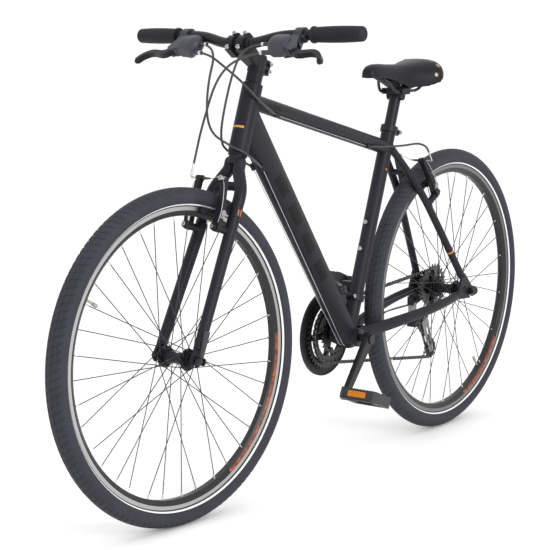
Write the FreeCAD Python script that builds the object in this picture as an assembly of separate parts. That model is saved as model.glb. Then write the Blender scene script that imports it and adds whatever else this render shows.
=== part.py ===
import FreeCAD, Part
import math
import os

V = FreeCAD.Vector
Placement = FreeCAD.Placement
Rotation = FreeCAD.Rotation

# Lengths are in millimetres and angles in degrees.
# X points forward, Y to the rider's left, Z up, and the origin is on the ground midway between the axles.

# Stance
wheelbase = 1070.0
tyre_radius = 351.0
tyre_width = 40.0
bracket_drop = 53.0
chainstay_length = 443.0
seat_angle = 70.5
head_angle = 70.0
fork_rake = 50.0
rest_steer_angle = -5.76

# Clearances
overrun = 4.0
running_gap = 0.05
seat_gap = 0.1
moving_gap = 0.4
path_bend_share = 0.45

# Main frame tubes
head_tube_start = 451.0
head_tube_length = 150.0
head_tube_radius = 22.0
head_tube_wall = 2.5
top_tube_radius = 17.0
top_tube_wall = 1.6
top_tube_below_head_top = 35.0
top_tube_seat_reach = 455.0
down_tube_below_head_top = 72.0
down_tube_head_height = 74.0
down_tube_head_width = 42.0
down_tube_middle_height = 62.0
down_tube_middle_width = 46.0
down_tube_bracket_height = 52.0
down_tube_bracket_width = 50.0
down_tube_wall = 1.8
seat_tube_length = 505.0
seat_tube_radius = 17.0
bracket_shell_radius = 21.5
bracket_shell_half_width = 34.0
bracket_shell_wall = 3.5

# Rear triangle
chainstay_front_y = 16.0
chainstay_ring_y = 26.5
chainstay_tyre_y = 36.0
chainstay_end_y = 65.5
chainstay_ring_back = 55.0
chainstay_tyre_back = 100.0
chainstay_end_ahead = 46.0
chainstay_front_height = 32.0
chainstay_end_height = 21.0
chainstay_front_width = 17.0
chainstay_end_width = 16.0
chainstay_bridge_back = 68.0
chainstay_bridge_radius = 6.5
stay_wall = 1.6
seatstay_top_reach = 458.0
seatstay_top_y = 12.5
seatstay_middle_back = 178.0
seatstay_middle_up = 268.0
seatstay_middle_y = 32.5
seatstay_end_ahead = 27.0
seatstay_end_up = 40.0
seatstay_end_y = 66.0
seatstay_radius = 9.0
seatstay_bridge_clearance = 24.0
seatstay_bridge_radius = 7.0
dropout_spacing = 135.0
dropout_thickness = 6.0
dropout_axle_pad_radius = 17.0
dropout_stay_pad_radius = 8.5
dropout_tail_back = 34.0
dropout_tail_up = -4.0
dropout_tail_radius = 8.5
dropout_slot_angle = 236.0
eyelet_radius = 2.1
hanger_drop = 29.0
hanger_ahead = 7.0
hanger_pad_radius = 11.0
hanger_hole_radius = 5.0

# Seat post, collar and saddle
post_radius = 13.6
post_wall = 2.4
post_insertion = 150.0
post_head_reach = 582.0
post_head_radius = 10.5
post_head_half_width = 20.0
collar_height = 15.0
collar_radius = 20.5
collar_lip = 2.0
collar_ear_reach = 30.0
collar_ear_half_width = 11.0
collar_slot_half_width = 1.2
collar_bolt_radius = 3.0
collar_bolt_head_radius = 5.0
saddle_nose_x = -143.0
saddle_length = 277.0
saddle_half_width = 77.0
saddle_top_z = 930.0
saddle_depth = 54.0
saddle_station_shares = (0.0, 0.05, 0.16, 0.36, 0.56, 0.74, 0.88, 0.965, 1.0)
saddle_width_shares = (0.09, 0.20, 0.27, 0.34, 0.52, 0.84, 1.0, 0.84, 0.5)
saddle_top_shares = (0.24, 0.12, 0.07, 0.12, 0.14, 0.08, 0.0, 0.06, 0.24)
saddle_bottom_shares = (0.42, 0.66, 0.82, 0.86, 0.92, 1.0, 0.98, 0.8, 0.6)
saddle_flank_share = 0.45
saddle_shoulder_share = 0.88
saddle_foot_width_share = 0.86
saddle_shoulder_width_share = 0.84
saddle_base_thickness = 6.0
saddle_base_station_shares = (0.10, 0.30, 0.56, 0.76, 0.90)
saddle_base_width_shares = (0.16, 0.22, 0.34, 0.58, 0.66)
rail_radius = 3.5
rail_half_spacing = 22.0
rail_front_half_spacing = 9.0
rail_rear_half_spacing = 30.0
rail_height_above_head = 11.0
rail_nose_share = 0.20
rail_front_share = 0.36
rail_rear_share = 0.74
rail_tail_share = 0.86
rail_clamp_half_length = 17.0
rail_clamp_height = 7.0

# Steering: headset, steerer and fork
steerer_radius = 14.3
steerer_wall = 2.0
steerer_top = 660.0
crown_radius = 18.0
crown_height = 20.0
crown_race_radius = 20.5
crown_race_height = 6.0
bearing_height = 8.0
leg_top_z = 430.0
leg_top_x = 2.0
leg_top_y = 13.2
leg_bend_drop = 52.0
leg_bend_start_share = 0.3
leg_bend_end_share = 0.2
leg_bend_y = 40.0
leg_end_z = 24.0
leg_end_y = 52.5
leg_top_radius = 13.2
leg_end_radius = 11.6
fork_bridge_z = 377.0
fork_bridge_radius = 9.5
fork_bridge_hole_radius = 3.3
fork_dropout_spacing = 100.0
fork_dropout_thickness = 6.0
fork_dropout_pad_radius = 15.0
fork_dropout_neck_radius = 8.5
fork_dropout_neck_up = 40.0

# Stem and handlebar, in the steering frame
top_cover_height = 4.0
top_cover_radius = 21.5
spacer_height = 24.0
spacer_radius = 17.5
stem_clamp_height = 32.0
stem_clamp_radius = 18.8
stem_ear_reach = 31.0
stem_ear_half_width = 10.0
stem_slot_half_width = 1.2
stem_cap_height = 4.0
stem_bolt_radius = 2.6
stem_bolt_head_radius = 4.4
stem_bolt_head_height = 5.0
stem_bolt_rise_share = 0.25
bar_clamp_x = 66.0
bar_clamp_z = 669.0
bar_clamp_half_width = 25.0
bar_clamp_radius = 18.6
stem_arm_height = 30.0
stem_arm_width = 27.0
band_half_width = 8.0
band_offset = 15.0
band_thickness = 5.5
band_lug_reach = 18.0
band_lug_depth = 9.0
band_lug_half_height = 4.5
bar_radius = 11.1
bar_centre_radius = 12.7
bar_centre_half_length = 34.0
bar_wall = 2.0
bar_rise_start_y = 40.0
bar_rise_end_x = 62.0
bar_rise_end_y = 108.0
bar_rise_end_z = 688.0
bar_end_x = 50.0
bar_end_y = 311.0
bar_end_z = 694.0
grip_length = 122.0
grip_radius = 15.6
grip_swell = 1.5
grip_flange_radius = 17.6
grip_flange_length = 5.0
grip_cap = 3.0
grip_flange_flat_share = 0.7
grip_swell_share = 0.55
grip_cap_round_share = 0.3

# Control pods on the handlebar, in a frame along the bar (outward), along the lever's reach, and across
pod_distance_from_end = 152.0
pod_lever_reach_ahead = 0.536
pod_lever_reach_down = 0.844
pod_clamp_half_length = 9.0
pod_clamp_radius = 16.0
pod_inner = -62.0
pod_outer = -6.0
pod_near = 12.5
pod_middle = 32.0
pod_far = 57.0
pod_half_depth = 19.0
pod_near_half_depth = 13.0
pod_far_half_depth = 11.0
pod_far_inset = 11.0
pod_corner_share = 0.42
pod_corner_limit_share = 0.9
pod_near_inset_share = 0.4
pod_neck_share = 0.6
bracket_near = 9.0
bracket_inner = -12.0
pod_bracket_outer = 17.0
bracket_half_depth = 11.0
lever_pivot_along = 8.0
lever_pivot_reach = 49.0
lever_pivot_radius = 8.5
lever_pin_radius = 2.6
lever_half_depth = 6.5
lever_mouth_share = 2.2
lever_root_along = 38.0
lever_root_reach = 61.0
lever_root_radius = 5.8
lever_bend_along = 62.0
lever_bend_reach = 59.0
lever_bend_radius = 5.2
lever_knee_along = 80.0
lever_knee_reach = 67.0
lever_knee_radius = 4.8
lever_tip_along = 92.0
lever_tip_reach = 86.0
lever_tip_radius = 4.2
lever_ball_radius = 5.8
barrel_reach = 50.0
barrel_across = 4.0
barrel_radius = 5.2
barrel_length = 17.0
ferrule_reach = 30.0
ferrule_across = -2.0
ferrule_radius = 4.2
ferrule_length = 22.0
thumb_pivot_along = -28.0
thumb_pivot_reach = 36.0
thumb_pivot_radius = 8.0
thumb_pin_radius = 2.5
thumb_thickness = 5.0
thumb_tip_along = 24.0
thumb_tip_reach = 30.0
thumb_tip_radius = 5.0
thumb_pad_height = 9.0

# Wheels
tyre_wall = 3.4
tyre_bead_depth = 9.0
tyre_bead_width = 3.4
rim_edge_radius = 316.0
rim_half_width = 12.2
rim_flange_wall = 2.6
rim_well_radius = 305.0
rim_track_inner_radius = 301.0
rim_bed_radius = 293.0
rim_bed_half_width = 6.5
rim_wall = 1.8
rim_track_wall = 2.7
valve_radius = 3.0
valve_length = 34.0
valve_cap_radius = 4.0
valve_cap_length = 12.0
front_valve_angle = 12.0
rear_valve_angle = 232.0
spoke_count = 36
spoke_crosses = 3
spoke_radius = 1.0
spoke_head_radius = 2.0
spoke_head_height = 1.6
spoke_side_gap = 1.5
spoke_rim_stagger = 2.5
nipple_radius = 2.0
nipple_length = 13.0
nipple_inside = 3.0
flange_radius = 23.0
flange_hole_circle = 20.0
flange_hole_radius = 1.35
flange_thickness = 3.0
hub_shell_radius = 14.0
hub_waist_radius = 11.5
hub_end_radius = 14.5
cone_radius = 9.0
cone_length = 8.0
front_flange_y = 32.0
front_hub_end_y = 42.0
front_axle_radius = 4.4
rear_left_flange_y = 34.0
rear_right_flange_y = -19.0
rear_hub_left_y = 44.0
rear_hub_right_y = -25.0
rear_axle_radius = 4.9
locknut_radius = 7.5
axle_nut_radius = 9.5
axle_nut_height = 8.0
axle_nut_washer = 2.0
axle_tip = 4.0
skewer_radius = 2.5
skewer_nut_radius = 8.0
skewer_nut_height = 9.0
release_boss_radius = 9.0
release_boss_height = 19.0
release_pin_share = 0.62
release_hub_radius = 4.6
release_hub_half_width = 4.0
release_neck_length = 15.0
release_lever_length = 58.0
release_lever_radius = 7.0
release_lever_thickness = 5.0
release_pin_radius = 2.4

# Chain drive
chain_pitch = 12.7
chain_line = -46.0
pin_search_shares = (0.98, 1.2)
roller_radius = 3.85
chain_inner_half_width = 1.4
chain_plate_thickness = 1.0
chain_plate_gap = 0.15
chain_plate_radius = 4.1
chain_plate_waist = 3.2
chain_pin_radius = 1.8
chain_pin_proud = 0.3
chain_roller_bore = 1.95
tooth_seat_gap = 0.2
tooth_height = 3.0
tooth_tip_share = 0.16
tooth_seat_half_angle = 58.0
sprocket_thickness = 2.0
sprocket_spacing = 5.0
sprocket_teeth = (28, 24, 22, 20, 18, 16, 14)
driven_sprocket = 3
sprocket_web_margin = 11.0
freewheel_radius = 16.5
freewheel_spacer_radius = 18.0
freewheel_inner_extra = 2.5
freewheel_outer_extra = 3.0
ring_teeth = (24, 34, 42)
ring_spacing = 7.5
driving_ring = 1
ring_thickness = 2.2
ring_band = 9.0
small_ring_band = 6.0
ring_tab_radius = 7.5
ring_bolt_circle = 55.0
small_ring_bolt_circle = 37.0
ring_bolt_radius = 4.0
spider_arm_count = 5
spider_hub_radius = 20.0
spider_arm_root_radius = 11.0
spider_post_radius = 5.2
guard_outer_radius = 101.5
guard_inner_radius = 64.0
guard_thickness = 3.6
guard_lip_depth = 1.2
guard_lip_width = 4.0
guard_offset = 17.5
guard_post_radius = 3.5
guard_post_circle = 78.0
crank_length = 170.0
crank_angle = -37.0
crank_boss_radius = 17.0
crank_inner_y = 50.0
crank_outer_y = 66.0
right_crank_inner_y = 66.5
right_crank_outer_y = 82.0
crank_eye_radius = 13.0
crank_eye_inner_y = 79.0
crank_eye_outer_y = 91.0
crank_root_width = 30.0
crank_end_width = 22.0
crank_root_thickness = 14.0
crank_end_thickness = 11.0
crank_corner = 3.5
spindle_radius = 8.4
spindle_bolt_radius = 11.0
spindle_bolt_height = 3.0
cartridge_flange_radius = 20.0
cartridge_flange_width = 3.0
pedal_axle_radius = 5.0
pedal_axle_length = 94.0
pedal_gap = 1.2
pedal_width = 93.0
pedal_depth = 78.0
pedal_height = 25.0
pedal_tilt = -22.0
pedal_rail = 11.0
pedal_corner = 9.0
pedal_hub_radius = 10.5
pedal_side_scoop = 12.0
pedal_scoop_depth = 4.5
pedal_tooth_depth = 3.0
pedal_tooth_pitch = 9.0
pedal_tooth_start_share = 0.25
reflector_width = 46.0
reflector_height = 13.0
reflector_depth = 4.0

# Rear derailleur
guide_pulley_ahead = 20.0
guide_pulley_drop = 90.0
cage_length = 78.0
cage_first_angle = 246.0
cage_search_span = 24.0
pulley_teeth = 11
pulley_thickness = 2.2
pulley_bore_radius = 3.5
pulley_hub_radius = 8.0
pulley_hub_half_width = 3.6
cage_plate_thickness = 1.8
cage_plate_gap = 4.2
cage_plate_end_radius = 15.0
cage_plate_tail_radius = 10.0
cage_window_margin = 5.5
knuckle_radius = 11.5
link_length_down = 44.0
link_thickness = 4.0
link_end_radius = 4.0
link_depth = 13.0
link_pin_radius = 2.4
link_inner_y = -79.0
link_outer_y = -88.0

# Front derailleur
shifter_clamp_reach = 92.0
shifter_clamp_height = 14.0
shifter_clamp_radius = 21.5
shifter_arm_radius = 7.0
shifter_pivot_up = 116.0
shifter_pivot_back = 32.0
shifter_y = -31.0
shifter_link_drop = 22.0
shifter_link_radius = 3.5
shifter_link_thickness = 4.0
shifter_link_pin = 2.2
shifter_cage_inner_radius = 80.0
shifter_cage_outer_plate_radius = 91.0
shifter_cage_outer_radius = 111.0
shifter_cage_front_angle = 84.0
shifter_cage_rear_angle = 140.0
shifter_cage_half_width = 5.4
shifter_plate_thickness = 1.2
shifter_bridge_angle = 3.0
shifter_bridge_depth = 6.0

# Rim brakes, in a frame along the pivot, across, and up the arm
boss_radius = 277.0
boss_half_spacing = 40.0
boss_length = 34.0
boss_root_radius = 8.0
boss_pin_radius = 4.0
boss_pin_length = 14.0
arm_depth = 12.0
arm_base_radius = 9.5
arm_knee_radius = 8.0
arm_knee_up = 34.0
arm_knee_y = 41.0
arm_top_radius = 5.5
arm_top_up = 102.0
arm_top_y = 35.0
pad_gap = 1.9
pad_thickness = 9.0
pad_inner_radius = 302.5
pad_outer_radius = 312.5
pad_half_angle = 6.3
pad_post_radius = 5.0
pad_nut_radius = 7.0
pad_nut_height = 4.0
anchor_radius = 5.0
anchor_height = 7.0
cradle_length = 16.0

# Cables
housing_radius = 2.5
wire_radius = 0.8
noodle_radius = 2.3
boot_radius = 4.0
stop_radius = 4.6
stop_length = 14.0
bottle_bolt_head_radius = 4.5
bottle_bolt_head_height = 3.2
bottle_first_reach = 205.0
bottle_spacing = 64.0
bottle_bolt_count = 2
noodle_across = 62.0
noodle_rise = 30.0
noodle_inner = 27.0
boot_length = 22.0
wire_tail = 10.0
top_stop_offset = 14.5
top_front_stop_reach = 85.0
top_rear_stop_reach = 462.0
down_stop_reach = 555.0
down_stop_offset = 32.0
wire_shoulder_drop = 31.0
down_stop_y = 13.0
wire_guide_y = 5.0
wire_guide_drop = 2.2
wire_guide_half_width = 14.0
wire_guide_half_length = 13.0
wire_guide_thickness = 4.5
stay_stop_x = -330.0
stay_stop_drop = 16.0

# Cable corners: those on the turning front in the steering frame, the others in the bike's frame
barrel_lead = 35.0
ferrule_lead = 66.0
noodle_lead = 30.0
front_brake_corners = ((122.0, 12.0, 596.0), (68.0, -54.0, 484.0))
rear_shift_corners = ((70.0, -58.0, 570.0), (64.0, -40.0, 480.0), (36.0, 8.0, 456.0), (4.0, 33.0, 449.0))
front_shift_corners = ((100.0, 30.0, 600.0), (76.0, 6.0, 520.0), (38.0, -24.0, 474.0), (4.0, -34.0, 452.0))
rear_brake_corners = ((58.0, -30.0, 618.0), (38.0, 16.0, 588.0), (0.0, 34.0, 560.0))
rear_loop_corners = ((-250.0, 29.5, 729.0),)
stay_loop_corners = ((-455.0, -104.0, 296.0), (-592.0, -108.0, 294.0), (-592.0, -84.0, 323.0))
shift_wire_corners = ((-124.0, -5.0, 273.0), (-144.0, -8.0, 330.0))


# Places that follow from the stance
rear_axle = V(-wheelbase / 2, 0, tyre_radius)
front_axle = V(wheelbase / 2, 0, tyre_radius)
bracket_run = math.sqrt(chainstay_length ** 2 - bracket_drop ** 2)
bracket = V(rear_axle.x + bracket_run, 0, tyre_radius - bracket_drop)
head_lean = 90 - head_angle
steer_up = V(-math.sin(math.radians(head_lean)), 0, math.cos(math.radians(head_lean)))
steer_ahead = V(math.cos(math.radians(head_lean)), 0, math.sin(math.radians(head_lean)))
steer_foot = front_axle - steer_ahead * fork_rake
steer_tilt = Placement(steer_foot, Rotation(V(0, 1, 0), -head_lean))
steer_place = steer_tilt.multiply(Placement(V(0, 0, 0), Rotation(V(0, 0, 1), rest_steer_angle)))
seat_up = V(-math.cos(math.radians(seat_angle)), 0, math.sin(math.radians(seat_angle)))
seat_ahead = V(seat_up.z, 0, -seat_up.x)
head_low = steer_foot + steer_up * head_tube_start
head_high = head_low + steer_up * head_tube_length
seat_top = bracket + seat_up * seat_tube_length
side_y = V(0, 1, 0)


# Basic shapes

def unit(vector):
    return V(vector).normalize()


def rod(start, end, radius):
    run = end - start
    return Part.makeCylinder(radius, run.Length, start, run)


def sleeve(start, end, outer, inner):
    ahead = unit(end - start) * overrun
    return rod(start, end, outer).cut(rod(start - ahead, end + ahead, inner))


def cone(start, end, start_radius, end_radius):
    run = end - start
    return Part.makeCone(start_radius, end_radius, run.Length, start, run)


def ball(centre, radius):
    return Part.makeSphere(radius, centre)


def block(low, high):
    size = high - low
    return Part.makeBox(size.x, size.y, size.z, low)


def line(start, end):
    return Part.LineSegment(start, end).toShape()


def fused(shapes):
    first = shapes[0]
    rest = shapes[1:]
    return first.fuse(rest).removeSplitter() if rest else first


def largest(shape):
    return max(shape.Solids, key=lambda solid: solid.Volume)


def mirrored(shape):
    return shape.mirror(V(0, 0, 0), side_y)


def placed(shape, placement):
    moved = shape.copy()
    moved.Placement = placement.multiply(moved.Placement)
    return moved


def polar(centre, radius, angle):
    """A point in the wheel plane, at an angle from forward towards up."""
    return centre + V(radius * math.cos(math.radians(angle)), 0, radius * math.sin(math.radians(angle)))


def spot_at_distance(start, end, centre, distance):
    """The first place from start towards end at a distance from a centre, seen in the wheel plane."""
    run, away = V(end.x - start.x, 0, end.z - start.z), V(start.x - centre.x, 0, start.z - centre.z)
    along, square = away.dot(run), run.dot(run)
    root = math.sqrt(along ** 2 - square * (away.dot(away) - distance ** 2))
    return start + (end - start) * ((-along - root) / square)


def closed_wire(points):
    edges = [line(a, b) for a, b in zip(points, points[1:] + points[:1])]
    return Part.Wire(edges)


def upright_plate(outline, y_start, y_end):
    """A plate in the wheel plane, from an outline drawn at y = 0."""
    face = Part.Face(outline)
    face.translate(V(0, y_start, 0))
    return face.extrude(V(0, y_end - y_start, 0))


def touching_outline(centre_a, radius_a, centre_b, radius_b):
    """The outline round two circles in the wheel plane: two arcs and the two lines that touch both."""
    run = centre_b - centre_a
    heading = math.atan2(run.z, run.x)
    spread = math.acos((radius_a - radius_b) / run.Length)

    def on(centre, radius, angle):
        return centre + V(radius * math.cos(angle), 0, radius * math.sin(angle))

    left, right = heading + spread, heading - spread
    back = Part.Arc(on(centre_a, radius_a, left), on(centre_a, radius_a, heading + math.pi),
                    on(centre_a, radius_a, right)).toShape()
    front = Part.Arc(on(centre_b, radius_b, right), on(centre_b, radius_b, heading),
                     on(centre_b, radius_b, left)).toShape()
    low = line(on(centre_a, radius_a, right), on(centre_b, radius_b, right))
    high = line(on(centre_b, radius_b, left), on(centre_a, radius_a, left))
    return Part.Wire([back, low, front, high])


def strap(centre_a, radius_a, centre_b, radius_b, y_start, y_end):
    return upright_plate(touching_outline(centre_a, radius_a, centre_b, radius_b), y_start, y_end)


def bent_path(points):
    """Straight runs joined by tangent arcs, each arc as large as its two runs allow."""
    edges = []
    radii = []
    here = points[0]
    for before, corner, after in zip(points, points[1:], points[2:]):
        back, ahead = unit(before - corner), unit(after - corner)
        reach = path_bend_share * min((before - corner).Length, (after - corner).Length)
        half_turn = (math.pi - back.getAngle(ahead)) / 2
        inward = unit(back + ahead)
        radius = reach / math.tan(half_turn)
        middle = corner + inward * (reach / math.sin(half_turn) - radius)
        enter, leave = corner + back * reach, corner + ahead * reach
        edges.append(line(here, enter))
        edges.append(Part.Arc(enter, middle, leave).toShape())
        radii.append(radius)
        here = leave
    edges.append(line(here, points[-1]))
    return Part.Wire(edges), radii


def bent_tube(points, radius):
    path, _ = bent_path(points)
    section = Part.Wire(Part.makeCircle(radius, points[0], points[1] - points[0]))
    return path.makePipeShell([section], True, False)


def cable(name, points, radius):
    """A cable along its route, with its bend radii and its volume check printed."""
    path, radii = bent_path(points)
    tube = bent_tube(points, radius)
    share = tube.Volume / (math.pi * radius ** 2 * path.Length)
    shown = " ".join("%.0f" % bend for bend in radii)
    print("%s: length %.0f, bend radii %s, volume share %.4f" % (name, path.Length, shown, share))
    return tube


def lathe(points, centre):
    """A ring or shaft about the Y axis, from a closed outline of (radius, y) points."""
    outline = closed_wire([V(radius, y, 0) for radius, y in points])
    turned = Part.Face(outline).revolve(V(0, 0, 0), side_y, 360)
    turned.translate(centre)
    return turned


def oval_section(centre, along, height, width):
    """An ellipse square to a tube's run: its height in the wheel plane and its width across."""
    along = unit(along)
    across = unit(side_y - along * along.dot(side_y))
    upward = along.cross(across) * -1
    if upward.z < 0:
        upward = upward * -1
    tall = height >= width
    major, minor = (height, width) if tall else (width, height)
    long_axis = upward if tall else across
    ellipse = Part.Ellipse(V(0, 0, 0), major / 2, minor / 2).toShape()
    turn = Rotation(long_axis, along.cross(long_axis), along, "ZXY")
    ellipse.Placement = Placement(centre, turn)
    return Part.Wire(ellipse)


def rounded_rectangle(half_width, half_height, corner):
    """A rounded rectangle in the XY plane, as four lines and four quarter arcs."""
    edges = []
    corners = [(1, 1), (-1, 1), (-1, -1), (1, -1)]
    diagonal = corner * math.sqrt(0.5)
    starts, middles, ends = [], [], []
    for sx, sy in corners:
        pivot = V(sx * (half_width - corner), sy * (half_height - corner), 0)
        beside = pivot + V(sx * corner, 0, 0)
        above = pivot + V(0, sy * corner, 0)
        first, last = (beside, above) if sx * sy > 0 else (above, beside)
        starts.append(first)
        middles.append(pivot + V(sx * diagonal, sy * diagonal, 0))
        ends.append(last)
    for index in range(len(corners)):
        edges.append(Part.Arc(starts[index], middles[index], ends[index]).toShape())
        edges.append(line(ends[index], starts[(index + 1) % len(corners)]))
    return Part.Wire(edges)


def section_at(wire, origin, x_direction, z_direction):
    """A flat wire moved so that its X and normal take the given directions."""
    z_direction = unit(z_direction)
    x_direction = unit(x_direction - z_direction * x_direction.dot(z_direction))
    turn = Rotation(x_direction, z_direction.cross(x_direction), z_direction, "ZXY")
    return placed(wire, Placement(origin, turn))


def hex_nut(start, end, across_radius, bore):
    """A hexagonal nut between two points, with a plain bore."""
    run = end - start
    corners = [polar(V(0, 0, 0), across_radius, side * 60) for side in range(6)]
    flat = [V(point.x, point.z, 0) for point in corners]
    wire = section_at(closed_wire(flat), start, V(0, 0, 1), run)
    nut = Part.Face(wire).extrude(run)
    ahead = unit(run) * overrun
    return nut.cut(rod(start - ahead, end + ahead, bore))


def save(name, shapes):
    solids = [solid for shape in shapes for solid in shape.Solids]
    whole = solids[0] if len(solids) == 1 else Part.makeCompound(solids)
    whole.exportStep("parts/" + name + ".step")


# Frame tubes

head_outer = rod(head_low, head_high, head_tube_radius)
seat_outer = rod(bracket, seat_top, seat_tube_radius)
bracket_outer = rod(bracket - side_y * bracket_shell_half_width,
                    bracket + side_y * bracket_shell_half_width, bracket_shell_radius)
top_front = head_high - steer_up * top_tube_below_head_top
top_rear = bracket + seat_up * top_tube_seat_reach
top_run = unit(top_rear - top_front)
top_outer = rod(top_front, top_rear, top_tube_radius)
down_high = head_high - steer_up * down_tube_below_head_top
down_run = unit(down_high - bracket)
down_up = V(-down_run.z, 0, down_run.x)


def make_head_tube():
    return sleeve(head_low, head_high, head_tube_radius, head_tube_radius - head_tube_wall)


def make_top_tube():
    bore = rod(top_front, top_rear, top_tube_radius - top_tube_wall)
    return largest(top_outer.cut([bore, head_outer, seat_outer]))


def down_tube_loft(inset):
    middle = (bracket + down_high) * 0.5
    stations = ((bracket, down_tube_bracket_height, down_tube_bracket_width),
                (middle, down_tube_middle_height, down_tube_middle_width),
                (down_high, down_tube_head_height, down_tube_head_width))
    wires = []
    for centre, height, width in stations:
        wires.append(oval_section(centre, down_run, height - inset * 2, width - inset * 2))
    return Part.makeLoft(wires, True, False)


down_outer = down_tube_loft(0)


def make_down_tube():
    tube = down_outer.cut(down_tube_loft(down_tube_wall))
    tube = largest(tube.cut([head_outer, bracket_outer, seat_outer, top_outer]))
    return tube


def make_seat_tube():
    tube = sleeve(bracket, seat_top, seat_tube_radius, post_radius + seat_gap)
    return largest(tube.cut(bracket_outer))


def make_bracket_shell():
    half = side_y * bracket_shell_half_width
    return sleeve(bracket - half, bracket + half, bracket_shell_radius,
                  bracket_shell_radius - bracket_shell_wall)


# Rear triangle

stay_drop = (bracket.z - rear_axle.z) / (bracket.x - rear_axle.x)


def chainstay_point(x, y):
    return V(x, y, rear_axle.z + (x - rear_axle.x) * stay_drop)


def chainstay_loft(inset):
    places = (chainstay_point(bracket.x, chainstay_front_y),
              chainstay_point(bracket.x - chainstay_ring_back, chainstay_ring_y),
              chainstay_point(bracket.x - chainstay_tyre_back, chainstay_tyre_y),
              chainstay_point(rear_axle.x + chainstay_end_ahead, chainstay_end_y))
    length = places[0].x - places[-1].x
    wires = []
    for index, place in enumerate(places):
        before, after = places[max(index - 1, 0)], places[min(index + 1, len(places) - 1)]
        share = (places[0].x - place.x) / length
        height = chainstay_front_height + (chainstay_end_height - chainstay_front_height) * share
        width = chainstay_front_width + (chainstay_end_width - chainstay_front_width) * share
        wires.append(oval_section(place, after - before, height - inset * 2, width - inset * 2))
    return Part.makeLoft(wires, True, False)


def dropout_plate(side):
    """A rear dropout: a pad for the axle, lobes for both stays, a tail with an eyelet, and an open slot."""
    half = dropout_spacing / 2
    centre = V(rear_axle.x, 0, rear_axle.z)
    chain_pad = chainstay_point(rear_axle.x + chainstay_end_ahead, 0)
    seat_pad = centre + V(seatstay_end_ahead, 0, seatstay_end_up)
    tail = centre + V(-dropout_tail_back, 0, dropout_tail_up)
    lobes = [strap(centre, dropout_axle_pad_radius, pad, radius, half, half + dropout_thickness)
             for pad, radius in ((chain_pad, dropout_stay_pad_radius), (seat_pad, dropout_stay_pad_radius),
                                 (tail, dropout_tail_radius))]
    lobes.append(strap(chain_pad, dropout_stay_pad_radius, seat_pad, dropout_stay_pad_radius,
                       half, half + dropout_thickness))
    cuts = [rod(tail + side_y * (half - overrun), tail + side_y * (half + dropout_thickness + overrun),
                eyelet_radius)]
    if side < 0:
        hanger = centre + V(hanger_ahead, 0, -hanger_drop)
        lobes.append(strap(centre, dropout_axle_pad_radius, hanger, hanger_pad_radius,
                           half, half + dropout_thickness))
        cuts.append(rod(hanger + side_y * (half - overrun),
                        hanger + side_y * (half + dropout_thickness + overrun), hanger_hole_radius))
    mouth = polar(centre, dropout_axle_pad_radius * 2, dropout_slot_angle)
    cuts.append(strap(centre, rear_axle_radius + seat_gap, mouth, rear_axle_radius + seat_gap * 2,
                      half - overrun, half + dropout_thickness + overrun))
    plate = fused(lobes).cut(cuts)
    return plate if side > 0 else mirrored(plate)


def make_chain_stays():
    stays = []
    for side in (1, -1):
        stay = chainstay_loft(0).cut(chainstay_loft(stay_wall))
        stay = stay if side > 0 else mirrored(stay)
        plate = dropout_plate(side)
        stays.append(largest(stay.cut([bracket_outer, seat_outer, plate])))
    bridge_x = bracket.x - chainstay_bridge_back
    reach = side_y * chainstay_end_y
    centre = chainstay_point(bridge_x, 0)
    bridge = rod(centre - reach, centre + reach, chainstay_bridge_radius)
    solid_stay = chainstay_loft(0)
    pieces = bridge.cut([solid_stay, mirrored(solid_stay)]).Solids
    stays.append(min(pieces, key=lambda piece: abs(piece.CenterOfMass.y)))
    return stays


def seatstay_points():
    top = bracket + seat_up * seatstay_top_reach + side_y * seatstay_top_y
    middle = rear_axle + V(seatstay_middle_back, seatstay_middle_y, seatstay_middle_up)
    end = rear_axle + V(seatstay_end_ahead, seatstay_end_y, seatstay_end_up)
    return [top, middle, end]


def make_seat_stays():
    points = seatstay_points()
    outer = bent_tube(points, seatstay_radius)
    inner = bent_tube(points, seatstay_radius - stay_wall)
    stays = []
    for side in (1, -1):
        stay = outer.cut(inner)
        stay = stay if side > 0 else mirrored(stay)
        stay = largest(stay.cut([seat_outer, top_outer, dropout_plate(side)]))
        bosses = [placed(shape, rear_brake_place()) for shape in boss_shapes(-side * boss_half_spacing)]
        stays.append(fused([stay] + bosses))
    solid_sides = [outer, mirrored(outer)]
    reach = tyre_radius + seatstay_bridge_clearance + seatstay_bridge_radius
    spot = spot_at_distance(points[0], points[1], rear_axle, reach)
    centre = V(spot.x, 0, spot.z)
    half = side_y * seatstay_end_y
    pieces = rod(centre - half, centre + half, seatstay_bridge_radius).cut(solid_sides).Solids
    stays.append(min(pieces, key=lambda piece: abs(piece.CenterOfMass.y)))
    return stays


# Headset, bottom bracket and rear axle

def make_headset():
    """Two bearings inside the ends of the head tube, with the steerer running through them."""
    bore = head_tube_radius - head_tube_wall
    inner = steerer_radius + running_gap
    lower = sleeve(head_low, head_low + steer_up * bearing_height, bore, inner)
    upper = sleeve(head_high - steer_up * bearing_height, head_high, bore, inner)
    return [lower, upper]


def make_bottom_bracket():
    half = bracket_shell_half_width
    flange = half + cartridge_flange_width
    body = bracket_shell_radius - bracket_shell_wall
    outline = [(spindle_radius + running_gap, -flange), (cartridge_flange_radius, -flange),
               (cartridge_flange_radius, -half), (body, -half), (body, half),
               (cartridge_flange_radius, half), (cartridge_flange_radius, flange),
               (spindle_radius + running_gap, flange)]
    return lathe(outline, bracket)


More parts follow.
